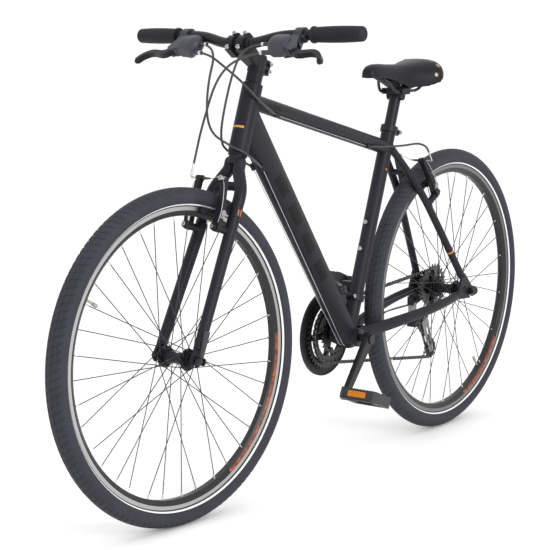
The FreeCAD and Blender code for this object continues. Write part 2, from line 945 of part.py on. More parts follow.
def make_rear_axle():
    """The axle with its cones, the freewheel's sleeve, lock nuts, washers and outer nuts."""
    half = dropout_spacing / 2
    outer = half + dropout_thickness
    washer = outer + axle_nut_washer
    tip = washer + axle_nut_height + axle_tip
    axle = rod(rear_axle - side_y * tip, rear_axle + side_y * tip, rear_axle_radius)
    rings = []
    for start, end, radius in ((rear_hub_left_y - cone_length, rear_hub_left_y, cone_radius),
                               (rear_hub_left_y, half, locknut_radius),
                               (-half, rear_hub_right_y + cone_length, cone_radius)):
        rings.append(rod(rear_axle + side_y * start, rear_axle + side_y * end, radius))
    spindle = fused([axle] + rings)
    nuts = []
    for side in (1, -1):
        washer_start, washer_end = side_y * (outer * side), side_y * (washer * side)
        nuts.append(sleeve(rear_axle + washer_start, rear_axle + washer_end,
                           axle_nut_radius, rear_axle_radius))
        nuts.append(hex_nut(rear_axle + washer_end,
                            rear_axle + side_y * ((washer + axle_nut_height) * side),
                            axle_nut_radius, rear_axle_radius))
    return [spindle] + nuts


# Seat collar, post and saddle

def make_seat_clamp():
    """A split collar with a lip over the tube's end, ears behind and a cross bolt."""
    low = seat_top - seat_up * (collar_height - collar_lip)
    high = seat_top + seat_up * collar_lip
    ring = rod(low, high, collar_radius)
    ear = rounded_rectangle(collar_height / 2, collar_ear_half_width, collar_lip)
    middle = (low + high) * 0.5
    wire = section_at(ear, middle, seat_up, seat_ahead * -1)
    ears = Part.Face(wire).extrude(seat_ahead * -collar_ear_reach)
    slot = Part.makeBox(collar_ear_reach + overrun, collar_slot_half_width * 2, collar_height + overrun * 2)
    slot.translate(V(0, -collar_slot_half_width, -overrun))
    slot = placed(slot, Placement(low, Rotation(seat_ahead * -1, side_y * -1, seat_up, "ZXY")))
    bolt_centre = middle - seat_ahead * (collar_radius + collar_bolt_radius + collar_lip)
    half = side_y * collar_ear_half_width
    bolt_hole = rod(bolt_centre - half * 2, bolt_centre + half * 2, collar_bolt_radius)
    body = fused([ring, ears]).cut([seat_outer, rod(low - seat_up * overrun, high + seat_up * overrun,
                                                    post_radius + seat_gap), slot, bolt_hole])
    head = side_y * collar_bolt_head_radius
    bolt = fused([rod(bolt_centre - half - head, bolt_centre + half + head, collar_bolt_radius),
                  rod(bolt_centre + half, bolt_centre + half + head, collar_bolt_head_radius),
                  rod(bolt_centre - half - head, bolt_centre - half, collar_bolt_head_radius)])
    return [largest(body), bolt]


def make_seatpost():
    """A tube with a closed head that carries a cradle for the saddle rails."""
    low = seat_top - seat_up * post_insertion
    head = bracket + seat_up * post_head_reach
    tube = sleeve(low, head, post_radius, post_radius - post_wall)
    barrel = rod(head - side_y * post_head_half_width, head + side_y * post_head_half_width, post_head_radius)
    cradle_z = head.z + rail_height_above_head
    reach = rail_half_spacing + rail_radius * 2
    cradle_low = V(head.x - rail_clamp_half_length, -reach, cradle_z - rail_clamp_height)
    cradle_high = V(head.x + rail_clamp_half_length, reach, cradle_z)
    cradle = block(cradle_low, cradle_high)
    cap = block(V(cradle_low.x, -reach, cradle_z + moving_gap), V(cradle_high.x, reach, cradle_z + rail_clamp_height))
    grooves = []
    for side in (1, -1):
        start = V(cradle_low.x - overrun, side * rail_half_spacing, cradle_z)
        end = V(cradle_high.x + overrun, side * rail_half_spacing, cradle_z)
        grooves.append(rod(start, end, rail_radius))
    bolt = rod(V(head.x, 0, cradle_z - rail_clamp_height), V(head.x, 0, cradle_z + rail_clamp_height + collar_lip),
               collar_bolt_radius)
    bolt_hole = rod(V(head.x, 0, cradle_z - rail_clamp_height), V(head.x, 0, cradle_z + rail_clamp_height + overrun),
                    collar_bolt_radius)
    post = fused([tube, barrel, cradle]).cut(grooves + [bolt_hole])
    return [largest(post), largest(cap.cut(grooves + [bolt_hole])), bolt]


def saddle_x(share):
    return saddle_nose_x - saddle_length * share


def saddle_section(share, width_share, top_share, bottom_share):
    """One cross section of the cushion: a crowned top, rounded flanks that draw in, and a flat underside."""
    x = saddle_x(share)
    half = saddle_half_width * width_share
    top = saddle_top_z - saddle_depth * top_share
    low = saddle_top_z - saddle_depth * bottom_share
    rise = top - low
    flank = low + rise * saddle_flank_share
    shoulder = low + rise * saddle_shoulder_share
    drawn, turned_in = half * saddle_foot_width_share, half * saddle_shoulder_width_share
    left_low, right_low = V(x, drawn, low), V(x, -drawn, low)
    left_high, right_high = V(x, turned_in, shoulder), V(x, -turned_in, shoulder)
    edges = [line(right_low, left_low),
             Part.Arc(left_low, V(x, half, flank), left_high).toShape(),
             Part.Arc(left_high, V(x, 0, top), right_high).toShape(),
             Part.Arc(right_high, V(x, -half, flank), right_low).toShape()]
    return Part.Wire(edges)


def make_saddle():
    rows = zip(saddle_station_shares, saddle_width_shares, saddle_top_shares, saddle_bottom_shares)
    return Part.makeLoft([saddle_section(*row) for row in rows], True, False)


def make_saddle_rails():
    """A thin base plate under the cushion and the two bent rails below it."""
    cushion = make_saddle()
    plan = []
    for share, width_share in zip(saddle_base_station_shares, saddle_base_width_shares):
        plan.append(V(saddle_x(share), saddle_half_width * width_share, 0))
    outline = plan + [V(point.x, -point.y, 0) for point in reversed(plan)]
    low = saddle_top_z - saddle_depth - saddle_base_thickness
    face = Part.Face(closed_wire(outline))
    face.translate(V(0, 0, low))
    base = largest(face.extrude(V(0, 0, saddle_depth)).cut(cushion))
    roof = block(V(saddle_x(1), -saddle_half_width, saddle_top_z - saddle_depth / 2),
                 V(saddle_x(0), saddle_half_width, saddle_top_z + overrun))
    base = largest(base.cut(roof))
    head = bracket + seat_up * post_head_reach
    level = head.z + rail_height_above_head
    base_z = low + saddle_base_thickness / 2
    rails = []
    for side in (1, -1):
        points = [V(saddle_x(rail_nose_share), side * rail_front_half_spacing, base_z),
                  V(saddle_x(rail_front_share), side * rail_half_spacing, level),
                  V(saddle_x(rail_rear_share), side * rail_half_spacing, level),
                  V(saddle_x(rail_tail_share), side * rail_rear_half_spacing, base_z)]
        rails.append(largest(bent_tube(points, rail_radius).cut(base)))
    return [base] + rails


# Fork, in the steering frame: X ahead, Y left, Z up the steering axis

def leg_direction():
    bend_z = leg_top_z - leg_bend_drop
    slope = (fork_rake - leg_top_x) / leg_top_z
    bend = V(leg_top_x + slope * leg_bend_drop, leg_bend_y, bend_z)
    end = V(leg_top_x + slope * (leg_top_z - leg_end_z), leg_end_y, leg_end_z)
    top = V(leg_top_x, leg_top_y, leg_top_z)
    return top, bend, end


def leg_x(z):
    return leg_top_x + (fork_rake - leg_top_x) * (leg_top_z - z) / leg_top_z


def solid_leg():
    """A curved leg: an S-shaped bend out of the crown, then a long straight taper."""
    top, bend, end = leg_direction()
    down = unit(end - bend)
    upper_path = [top, top - V(0, 0, leg_bend_drop * leg_bend_start_share),
                  bend + down * (leg_bend_drop * leg_bend_end_share), bend + down * leg_bend_drop]
    upper = bent_tube(upper_path, leg_top_radius)
    lower = cone(bend + down * leg_bend_drop, end, leg_top_radius, leg_end_radius)
    return fused([upper, ball(top, leg_top_radius), lower])


def crown_solids():
    race_low = head_tube_start - moving_gap - crown_race_height
    crown = rod(V(0, 0, race_low - crown_height), V(0, 0, race_low), crown_radius)
    race = rod(V(0, 0, race_low), V(0, 0, race_low + crown_race_height), crown_race_radius)
    steerer = rod(V(0, 0, race_low - crown_height), V(0, 0, steerer_top), steerer_radius)
    return [steerer, crown, race]


def make_fork_steerer():
    race_low = head_tube_start - moving_gap - crown_race_height
    bore = rod(V(0, 0, race_low - crown_height - overrun), V(0, 0, steerer_top + overrun),
               steerer_radius - steerer_wall)
    return placed(fused(crown_solids()).cut(bore), steer_place)


def fork_dropout():
    half = fork_dropout_spacing / 2
    centre = V(fork_rake, 0, 0)
    neck = V(leg_x(fork_dropout_neck_up), 0, fork_dropout_neck_up)
    plate = strap(centre, fork_dropout_pad_radius, neck, fork_dropout_neck_radius, half, half + fork_dropout_thickness)
    mouth = centre - V(0, 0, fork_dropout_pad_radius * 2)
    slot_radius = front_axle_radius + seat_gap
    slot = strap(centre, slot_radius, mouth, slot_radius + seat_gap, half - overrun,
                 half + fork_dropout_thickness + overrun)
    return plate.cut(slot)


def boss_shapes(centre_y):
    """A brake boss in the brake frame: a root on the leg and a thinner pin that carries the arm."""
    root = rod(V(0, centre_y, 0), V(boss_length, centre_y, 0), boss_root_radius)
    pin = rod(V(0, centre_y, 0), V(boss_length + boss_pin_length, centre_y, 0), boss_pin_radius)
    return [root, pin]


def front_brake_place():
    return Placement(V(leg_x(boss_radius), 0, boss_radius), Rotation())


def rear_brake_angle():
    _, middle, end = seatstay_points()
    spot = spot_at_distance(middle, end, rear_axle, boss_radius)
    return math.degrees(math.atan2(spot.z - rear_axle.z, spot.x - rear_axle.x))


def rear_brake_place():
    angle = rear_brake_angle()
    outward = polar(V(0, 0, 0), 1, angle)
    backward = polar(V(0, 0, 0), 1, angle + 90)
    turn = Rotation(backward, outward.cross(backward), outward, "ZXY")
    return Placement(polar(rear_axle, boss_radius, angle), turn)


def make_fork_legs():
    leg = solid_leg()
    crown = fused(crown_solids())
    plate = fork_dropout()
    bosses = [placed(shape, front_brake_place()) for shape in boss_shapes(boss_half_spacing)]
    middle_wall = block(V(-crown_race_radius * 2, -crown_race_radius * 2, 0), V(crown_race_radius * 2, 0, steerer_top))
    leg = fused([leg] + bosses).cut([crown, plate, middle_wall])
    left = largest(leg)
    legs = [left, mirrored(left), plate, mirrored(plate)]
    centre = V(leg_x(fork_bridge_z), 0, fork_bridge_z)
    half = side_y * leg_bend_y
    bridge = rod(centre - half, centre + half, fork_bridge_radius).cut([solid_leg(), mirrored(solid_leg())])
    bridge = min(bridge.Solids, key=lambda piece: abs(piece.CenterOfMass.y))
    ahead = V(fork_bridge_radius + overrun, 0, 0)
    legs.append(bridge.cut(rod(centre - ahead, centre + ahead, fork_bridge_hole_radius)))
    return [placed(piece, steer_place) for piece in legs]


def bar_clamp_centre():
    return V(bar_clamp_x, 0, bar_clamp_z)


def stem_clamp_low():
    return head_tube_start + head_tube_length + moving_gap + top_cover_height + spacer_height


def stem_heading():
    return unit(bar_clamp_centre() - V(0, 0, stem_clamp_low() + stem_clamp_height / 2))


def make_stem():
    """Bearing cover, spacer, the forged stem with its rear pinch slot, front bands, cap and bolts."""
    cover_low = head_tube_start + head_tube_length + moving_gap
    spacer_low = cover_low + top_cover_height
    low = stem_clamp_low()
    high = low + stem_clamp_height
    bore = rod(V(0, 0, cover_low - overrun), V(0, 0, steerer_top + overrun * 3), steerer_radius)
    cover = cone(V(0, 0, cover_low), V(0, 0, spacer_low), top_cover_radius, spacer_radius).cut(bore)
    spacer = rod(V(0, 0, spacer_low), V(0, 0, low), spacer_radius).cut(bore)
    cap = rod(V(0, 0, high), V(0, 0, high + stem_cap_height), spacer_radius)
    heading = stem_heading()
    upward = heading.cross(side_y) * -1
    centre = bar_clamp_centre()
    root = V(0, 0, low + stem_clamp_height / 2)
    arm_root = section_at(rounded_rectangle(stem_arm_width / 2, stem_arm_height / 2, crank_corner * 2),
                          root, side_y, heading)
    arm_tip = section_at(rounded_rectangle(bar_clamp_half_width, stem_arm_height / 2, crank_corner * 2),
                         centre, side_y, heading)
    arm = Part.makeLoft([arm_root, arm_tip], True, True)
    clamp = rod(V(0, 0, low), V(0, 0, high), stem_clamp_radius)
    half = side_y * bar_clamp_half_width
    jaw = rod(centre - half, centre + half, bar_clamp_radius)
    front_half = Part.makeBox(bar_clamp_radius * 2, bar_clamp_half_width * 4, bar_clamp_radius * 4,
                              V(-moving_gap, -bar_clamp_half_width * 2, -bar_clamp_radius * 2))
    front_half = placed(front_half, Placement(centre, Rotation(heading, side_y, upward, "ZXY")))
    ear_low = V(-stem_ear_reach, -stem_ear_half_width, low + seat_gap)
    ears = block(ear_low, V(0, stem_ear_half_width, high - seat_gap))
    slot = block(V(-stem_ear_reach - overrun, -stem_slot_half_width, low - overrun),
                 V(0, stem_slot_half_width, high + overrun))
    bar_hole = rod(centre - half * 2, centre + half * 2, bar_centre_radius)
    holes = [rod(V(0, 0, high), V(0, 0, high + stem_cap_height * 3), spacer_radius)]
    seats = []
    bolts = []
    for rise in (stem_bolt_rise_share, 1 - stem_bolt_rise_share):
        spot = V(-(stem_clamp_radius + stem_ear_reach) / 2 - stem_bolt_radius / 2, 0, low + stem_clamp_height * rise)
        across = side_y * (stem_ear_half_width + stem_bolt_head_height)
        holes.append(rod(spot - across, spot + across, stem_bolt_radius))
        inner = side_y * stem_ear_half_width
        bolts.append(fused([rod(spot - inner, spot + across, stem_bolt_radius),
                            rod(spot + inner, spot + across, stem_bolt_head_radius)]))
    bands = []
    for side in (1, -1):
        mid = centre + side_y * (band_offset * side)
        wide = side_y * band_half_width
        ring = rod(mid - wide, mid + wide, bar_centre_radius + band_thickness)
        back = placed(Part.makeBox(bar_clamp_radius * 2, bar_clamp_half_width * 4, bar_clamp_radius * 4,
                                   V(-bar_clamp_radius * 2, -bar_clamp_half_width * 2, -bar_clamp_radius * 2)),
                      Placement(centre, Rotation(heading, side_y, upward, "ZXY")))
        lugs = []
        for end in (1, -1):
            lug_centre = mid + upward * (band_lug_reach * end)
            lug = Part.makeBox(band_lug_depth, band_half_width * 2, band_lug_half_height * 2,
                               V(0, -band_half_width, -band_lug_half_height))
            lugs.append(placed(lug, Placement(lug_centre, Rotation(heading, side_y, upward, "ZXY"))))
            start = lug_centre - heading * (band_lug_depth * 2)
            face = lug_centre + heading * band_lug_depth
            holes.append(rod(start, face + heading * stem_bolt_head_height, stem_bolt_radius))
            head = rod(face, face + heading * stem_bolt_head_height, stem_bolt_head_radius)
            bolts.append(fused([rod(start, face, stem_bolt_radius), head]))
            seats.append(head)
            pad = Part.makeBox(band_lug_depth * 2, band_half_width * 2, band_lug_half_height * 2,
                               V(-band_lug_depth * 2 - moving_gap, -band_half_width, -band_lug_half_height))
            arm = arm.fuse(placed(pad, Placement(lug_centre, Rotation(heading, side_y, upward, "ZXY"))))
        band = fused([ring.cut(back)] + lugs)
        bands.append(band.cut([bar_hole]))
    body = fused([arm, clamp, jaw, ears]).cut([front_half, bore, slot, bar_hole] + holes)
    bands = [largest(band.cut(holes + seats)) for band in bands]
    pieces = [cover, spacer, cap, largest(body)] + bands + bolts
    return [placed(piece, steer_place) for piece in pieces]


# Handlebar and grips

def bar_points():
    side = [V(bar_clamp_x, bar_rise_start_y, bar_clamp_z), V(bar_rise_end_x, bar_rise_end_y, bar_rise_end_z),
            V(bar_end_x, bar_end_y, bar_end_z)]
    return [V(point.x, -point.y, point.z) for point in reversed(side)] + side


def bar_outward():
    return unit(V(bar_end_x, bar_end_y, bar_end_z) - V(bar_rise_end_x, bar_rise_end_y, bar_rise_end_z))


def bar_spot(distance_from_end):
    return V(bar_end_x, bar_end_y, bar_end_z) - bar_outward() * distance_from_end


def make_handlebar():
    half = side_y * bar_centre_half_length
    centre = bar_clamp_centre()
    outer = fused([bent_tube(bar_points(), bar_radius), rod(centre - half, centre + half, bar_centre_radius)])
    bar = outer.cut(bent_tube(bar_points(), bar_radius - bar_wall))
    return placed(largest(bar), steer_place)


def make_grips():
    """A swelling rubber sleeve with an inner flange and a closed end."""
    along = bar_outward()
    start = bar_spot(grip_length)
    flat = grip_flange_length * grip_flange_flat_share
    flange_top, flange_foot = V(grip_flange_radius, flat, 0), V(grip_radius, grip_flange_length, 0)
    swell = V(grip_radius + grip_swell, grip_length * grip_swell_share, 0)
    cap_start = V(grip_radius, grip_length - grip_cap, 0)
    cap_round = V(grip_radius - grip_cap * grip_cap_round_share, grip_length, 0)
    cap_end = V(grip_radius - grip_cap, grip_length + grip_cap / 2, 0)
    cap_middle = V(0, grip_length + grip_cap / 2, 0)
    edges = [line(V(0, 0, 0), V(grip_flange_radius, 0, 0)), line(V(grip_flange_radius, 0, 0), flange_top),
             line(flange_top, flange_foot), Part.Arc(flange_foot, swell, cap_start).toShape(),
             Part.Arc(cap_start, cap_round, cap_end).toShape(), line(cap_end, cap_middle),
             line(cap_middle, V(0, 0, 0))]
    body = Part.Face(Part.Wire(edges)).revolve(V(0, 0, 0), side_y, 360)
    body = body.cut(Part.makeCylinder(bar_radius, grip_length, V(0, 0, 0), side_y))
    turn = Rotation(V(1, 0, 0), along, V(0, 0, 1), "YXZ")
    left = placed(body, Placement(start, turn))
    return [placed(piece, steer_place) for piece in (left, mirrored(left))]


# Control pods: housings, brake levers and thumb levers, made on the left and mirrored

def pod_place():
    """Pod frame: X outward along the bar, Y along the lever's reach, Z across."""
    outward = bar_outward()
    reach = V(pod_lever_reach_ahead, 0, -pod_lever_reach_down)
    reach = unit(reach - outward * reach.dot(outward))
    return Placement(bar_spot(pod_distance_from_end), Rotation(outward, reach, outward.cross(reach), "ZXY"))


def pod_sides(shape):
    left = placed(shape, pod_place())
    return left, mirrored(left)


def pod_plate(outline_points, half_depth):
    """A flat piece in the pod's reach plane, made of overlapping tapered straps through given circles."""
    straps = []
    for (point_a, radius_a), (point_b, radius_b) in zip(outline_points, outline_points[1:]):
        wire = touching_outline(V(point_a[0], 0, point_a[1]), radius_a, V(point_b[0], 0, point_b[1]), radius_b)
        straps.append(upright_plate(wire, -half_depth, half_depth))
    return in_pod_plane(fused(straps))


def in_pod_plane(plate):
    """Lays an upright plate down in the pod's reach plane."""
    return placed(plate, Placement(V(0, 0, 0), Rotation(V(1, 0, 0), V(0, 0, -1), V(0, 1, 0), "ZXY")))


def smooth_blade(circles, half_depth):
    """A flat piece in the pod's reach plane, with smooth sides drawn past given circles."""
    spots = [V(point[0], 0, point[1]) for point, _ in circles]
    spine = Part.BSplineCurve()
    spine.interpolate(spots)
    left, right = [], []
    for spot, (_, radius) in zip(spots, circles):
        across = unit(spine.tangent(spine.parameter(spot))[0]).cross(side_y) * radius
        left.append(spot + across)
        right.insert(0, spot - across)
    left_side, right_side = Part.BSplineCurve(), Part.BSplineCurve()
    left_side.interpolate(left)
    right_side.interpolate(right)
    edges = [left_side.toShape(), line(left[-1], right[0]), right_side.toShape(), line(right[-1], left[0])]
    return in_pod_plane(upright_plate(Part.Wire(edges), -half_depth, half_depth))


def make_pods():
    """A bar clamp, a domed shifter housing, the lever's bracket, an adjusting barrel and a cable ferrule."""
    clamp = rod(V(-pod_clamp_half_length, 0, 0), V(pod_clamp_half_length, 0, 0), pod_clamp_radius)
    middle = (pod_inner + pod_outer) / 2
    half = (pod_outer - pod_inner) / 2
    wires = []
    for reach, half_along, half_depth in ((pod_near, half - pod_far_inset * pod_near_inset_share, pod_near_half_depth),
                                          (pod_middle, half, pod_half_depth),
                                          (pod_far, half - pod_far_inset, pod_far_half_depth)):
        corner = half_depth * pod_corner_share * 2
        wire = rounded_rectangle(half_along, half_depth, min(corner, half_depth * pod_corner_limit_share))
        wires.append(section_at(wire, V(middle, reach, 0), V(1, 0, 0), V(0, 1, 0)))
    dome = Part.makeLoft(wires, True, False)
    neck_half = pod_near_half_depth * pod_neck_share
    neck = block(V(pod_inner + half, 0, -neck_half), V(pod_bracket_outer, pod_near + overrun, neck_half))
    bracket_body = pod_plate([((bracket_inner + lever_pivot_radius, bracket_near), lever_pivot_radius),
                              ((lever_pivot_along, lever_pivot_reach), lever_pivot_radius)], bracket_half_depth)
    join = pod_plate([((pod_outer - pod_far_inset, lever_pivot_reach - lever_pivot_radius), lever_pivot_radius),
                      ((lever_pivot_along, lever_pivot_reach), lever_pivot_radius)], bracket_half_depth)
    mouth_low = V(lever_pivot_along - lever_pivot_radius - moving_gap * 2,
                  lever_pivot_reach - lever_pivot_radius * lever_mouth_share, -lever_half_depth - moving_gap)
    mouth_high = V(lever_pivot_along + lever_pivot_radius * 3, lever_pivot_reach + lever_pivot_radius * 2,
                   lever_half_depth + moving_gap)
    mouth = block(mouth_low, mouth_high)
    pin = rod(V(lever_pivot_along, lever_pivot_reach, -bracket_half_depth),
              V(lever_pivot_along, lever_pivot_reach, bracket_half_depth), lever_pin_radius)
    barrel = rod(V(pod_inner - barrel_length, barrel_reach, barrel_across),
                 V(pod_inner + half, barrel_reach, barrel_across), barrel_radius)
    ferrule = rod(V(pod_inner - ferrule_length, ferrule_reach, ferrule_across),
                  V(pod_inner + half, ferrule_reach, ferrule_across), ferrule_radius)
    thumb_pin = rod(V(thumb_pivot_along, thumb_pivot_reach, 0),
                    V(thumb_pivot_along, thumb_pivot_reach, pod_half_depth + thumb_thickness + moving_gap * 2),
                    thumb_pin_radius)
    cable_hole = rod(V(pod_inner - barrel_length - overrun, barrel_reach, barrel_across),
                     V(pod_inner + half, barrel_reach, barrel_across), housing_radius)
    wire_hole = rod(V(pod_inner - ferrule_length - overrun, ferrule_reach, ferrule_across),
                    V(pod_inner + half, ferrule_reach, ferrule_across), housing_radius)
    body = fused([clamp, dome, neck, bracket_body, join]).cut([mouth])
    body = fused([largest(body), pin, barrel, ferrule, thumb_pin]).cut([cable_hole, wire_hole])
    left = largest(placed(largest(body), pod_place()).cut(bent_tube(bar_points(), bar_radius)))
    return [placed(left, steer_place), placed(mirrored(left), steer_place)]


def make_brake_levers():
    """A cast lever with a curved blade and a ball end, hung on the bracket's pin."""
    blade = smooth_blade([((lever_pivot_along, lever_pivot_reach), lever_root_radius),
                          ((lever_root_along, lever_root_reach), lever_root_radius),
                          ((lever_bend_along, lever_bend_reach), lever_bend_radius),
                          ((lever_knee_along, lever_knee_reach), lever_knee_radius),
                          ((lever_tip_along, lever_tip_reach), lever_tip_radius)], lever_half_depth)
    tip = ball(V(lever_tip_along, lever_tip_reach, 0), lever_ball_radius)
    half = V(0, 0, bracket_half_depth)
    spot = V(lever_pivot_along, lever_pivot_reach, 0)
    depth = V(0, 0, lever_half_depth)
    eye = rod(spot - depth, spot + depth, lever_pivot_radius - moving_gap)
    lever = fused([blade, tip, eye]).cut(rod(spot - half, spot + half, lever_pin_radius + running_gap))
    return [placed(piece, steer_place) for piece in pod_sides(lever)]


def make_shift_levers():
    """A thumb lever under the pod: a flat arm on a pin with a raised pad at its end."""
    level = pod_half_depth + moving_gap
    arm = pod_plate([((thumb_pivot_along, thumb_pivot_reach), thumb_pivot_radius),
                     ((thumb_tip_along, thumb_tip_reach), thumb_tip_radius)], thumb_thickness / 2)
    arm.translate(V(0, 0, level + thumb_thickness / 2))
    tip = V(thumb_tip_along, thumb_tip_reach, level)
    pad = rod(tip, tip + V(0, 0, thumb_pad_height), thumb_tip_radius)
    spot = V(thumb_pivot_along, thumb_pivot_reach, 0)
    hole = rod(spot, spot + V(0, 0, level * 3), thumb_pin_radius + running_gap)
    lever = fused([arm, pad]).cut(hole)
    return [placed(piece, steer_place) for piece in pod_sides(lever)]


# Wheels, made round the origin with the axle along Y

def make_tyre():
    """A round tyre section with a hollow inside and two beads that sit between the rim's edges."""
    half = tyre_width / 2
    centre = tyre_radius - half
    ledge = rim_edge_radius + seat_gap
    ledge_y = math.sqrt(half ** 2 - (centre - ledge) ** 2)
    bead_y = rim_half_width - rim_flange_wall - seat_gap
    bead_low = ledge - tyre_bead_depth
    inner = half - tyre_wall
    inner_y = bead_y - tyre_bead_width
    inner_r = centre - math.sqrt(inner ** 2 - inner_y ** 2)

    def spot(radius, y):
        return V(radius, y, 0)

    edges = [Part.Arc(spot(ledge, ledge_y), spot(tyre_radius, 0), spot(ledge, -ledge_y)).toShape(),
             line(spot(ledge, -ledge_y), spot(ledge, -bead_y)), line(spot(ledge, -bead_y), spot(bead_low, -bead_y)),
             line(spot(bead_low, -bead_y), spot(bead_low, -inner_y)),
             line(spot(bead_low, -inner_y), spot(inner_r, -inner_y)),
             Part.Arc(spot(inner_r, -inner_y), spot(centre + inner, 0), spot(inner_r, inner_y)).toShape(),
             line(spot(inner_r, inner_y), spot(bead_low, inner_y)), line(spot(bead_low, inner_y), spot(bead_low, bead_y)),
             line(spot(bead_low, bead_y), spot(ledge, bead_y)), line(spot(ledge, bead_y), spot(ledge, ledge_y))]
    return Part.Face(Part.Wire(edges)).revolve(V(0, 0, 0), side_y, 360)


def spoke_lines(left_flange_y, right_flange_y):
    """For each spoke: where it leaves its flange, which way its elbow points, and where it meets the rim."""
    lines = []
    per_flange = spoke_count // 2
    step = 360 / per_flange
    for flange_y, offset, rim_y in ((left_flange_y, step / 2, spoke_rim_stagger),
                                    (right_flange_y, 0, -spoke_rim_stagger)):
        for index in range(per_flange):
            outside = 1 if index % 2 == 0 else -1
            hub_angle = index * step + offset
            rim_angle = hub_angle + outside * spoke_crosses * step
            shift = outside * (flange_thickness / 2 + spoke_radius + spoke_side_gap)
            start = polar(V(0, flange_y + shift, 0), flange_hole_circle, hub_angle)
            end = polar(V(0, rim_y, 0), rim_bed_radius + rim_wall + nipple_inside, rim_angle)
            lines.append((start, -outside, end))
    return lines


def make_spokes(left_flange_y, right_flange_y):
    """Crossed spokes with a bent elbow through the flange, a flat head and a nipple at the rim."""
    spokes = []
    for start, elbow_side, end in spoke_lines(left_flange_y, right_flange_y):
        reach = flange_thickness + spoke_side_gap + spoke_radius
        inner = start + side_y * (elbow_side * reach)
        head = inner + side_y * (elbow_side * spoke_head_height)
        inward = unit(start - end)
        pieces = [rod(start, end, spoke_radius), ball(start, spoke_radius), rod(start, inner, spoke_radius),
                  rod(inner, head, spoke_head_radius), rod(end + inward * nipple_length, end, nipple_radius)]
        spokes.append(fused(pieces))
    return spokes


def make_rim(left_flange_y, right_flange_y, valve_angle):
    """A double-walled rim with brake tracks, a hollow chamber, nipple holes and a valve."""
    half = rim_half_width
    inner = half - rim_flange_wall
    outline = [(rim_edge_radius, half), (rim_track_inner_radius, half), (rim_bed_radius, rim_bed_half_width),
               (rim_bed_radius, -rim_bed_half_width), (rim_track_inner_radius, -half), (rim_edge_radius, -half),
               (rim_edge_radius, -inner), (rim_well_radius, -inner), (rim_well_radius, inner),
               (rim_edge_radius, inner)]
    rim = lathe(outline, V(0, 0, 0))
    chamber_top = rim_well_radius - rim_wall
    chamber_half = half - rim_track_wall
    bed_half = rim_bed_half_width - rim_wall / 2
    chamber = lathe([(chamber_top, chamber_half), (rim_track_inner_radius, chamber_half),
                     (rim_bed_radius + rim_wall, bed_half), (rim_bed_radius + rim_wall, -bed_half),
                     (rim_track_inner_radius, -chamber_half), (chamber_top, -chamber_half)], V(0, 0, 0))
    holes = []
    for start, _, end in spoke_lines(left_flange_y, right_flange_y):
        inward = unit(start - end)
        holes.append(rod(end + inward * nipple_length, end - inward * rim_wall, nipple_radius + seat_gap))
    outward = polar(V(0, 0, 0), 1, valve_angle)
    valve_top = outward * (rim_edge_radius - tyre_bead_depth)
    valve_end = outward * (rim_bed_radius - valve_length)
    cap_end = valve_end + outward * valve_cap_length
    holes.append(rod(valve_end, valve_top + outward * overrun, valve_radius))
    valve = fused([rod(valve_end, valve_top, valve_radius - seat_gap), rod(valve_end, cap_end, valve_cap_radius)])
    return [rim.cut(chamber).cut(holes), valve]


def hub_shell(left_flange_y, right_flange_y, left_end, right_end):
    """A waisted shell with two drilled flanges and bearing seats at both ends."""
    half = flange_thickness / 2
    middle = (left_flange_y + right_flange_y) / 2
    bore = cone_radius + running_gap
    throat = hub_waist_radius - rim_flange_wall
    outline = [(bore, left_end), (hub_end_radius, left_end), (hub_end_radius, left_flange_y + half),
               (flange_radius, left_flange_y + half), (flange_radius, left_flange_y - half),
               (hub_shell_radius, left_flange_y - half), (hub_waist_radius, middle),
               (hub_shell_radius, right_flange_y + half), (flange_radius, right_flange_y + half),
               (flange_radius, right_flange_y - half), (hub_end_radius, right_flange_y - half),
               (hub_end_radius, right_end), (bore, right_end)]
    shell = lathe(outline, V(0, 0, 0))
    holes = []
    per_flange = spoke_count // 2
    step = 360 / per_flange
    for flange_y, offset in ((left_flange_y, step / 2), (right_flange_y, 0)):
        for index in range(per_flange):
            spot = polar(V(0, flange_y, 0), flange_hole_circle, index * step + offset)
            across = side_y * (flange_thickness + overrun)
            holes.append(rod(spot - across, spot + across, flange_hole_radius))
    return shell.cut(holes)


def release_outer_y():
    return fork_dropout_spacing / 2 + fork_dropout_thickness


def release_pin_y():
    return release_outer_y() + release_boss_height * release_pin_share


def make_front_axle():
    """The hollow axle with cones and lock nuts, and the skewer with its nut and slotted boss."""
    half = fork_dropout_spacing / 2
    outer = release_outer_y()
    axle_end = outer - seat_gap
    shapes = [rod(V(0, -axle_end, 0), V(0, axle_end, 0), front_axle_radius)]
    for side in (1, -1):
        cone_start = front_hub_end_y - cone_length
        shapes.append(rod(V(0, side * cone_start, 0), V(0, side * front_hub_end_y, 0), cone_radius))
        shapes.append(rod(V(0, side * front_hub_end_y, 0), V(0, side * half, 0), locknut_radius))
    skewer_end = outer + skewer_nut_height
    boss_end = outer + release_boss_height
    skewer = rod(V(0, -skewer_end, 0), V(0, boss_end, 0), skewer_radius)
    axle = fused(shapes).cut(skewer)
    nut = rod(V(0, -outer, 0), V(0, -skewer_end, 0), skewer_nut_radius)
    boss = rod(V(0, outer, 0), V(0, boss_end, 0), release_boss_radius)
    slot_half = release_hub_half_width + moving_gap
    slot_floor = release_pin_y() - release_hub_radius - moving_gap
    slot = block(V(-slot_half, slot_floor, -release_boss_radius * 2), V(slot_half, boss_end + overrun, release_boss_radius * 2))
    pin_half = V(release_boss_radius - moving_gap, 0, 0)
    pin = rod(V(0, release_pin_y(), 0) - pin_half, V(0, release_pin_y(), 0) + pin_half, release_pin_radius)
    body = fused([fused([skewer, nut, boss]).cut(slot), pin])
    return [placed(piece, front_wheel_place()) for piece in (axle, body)]


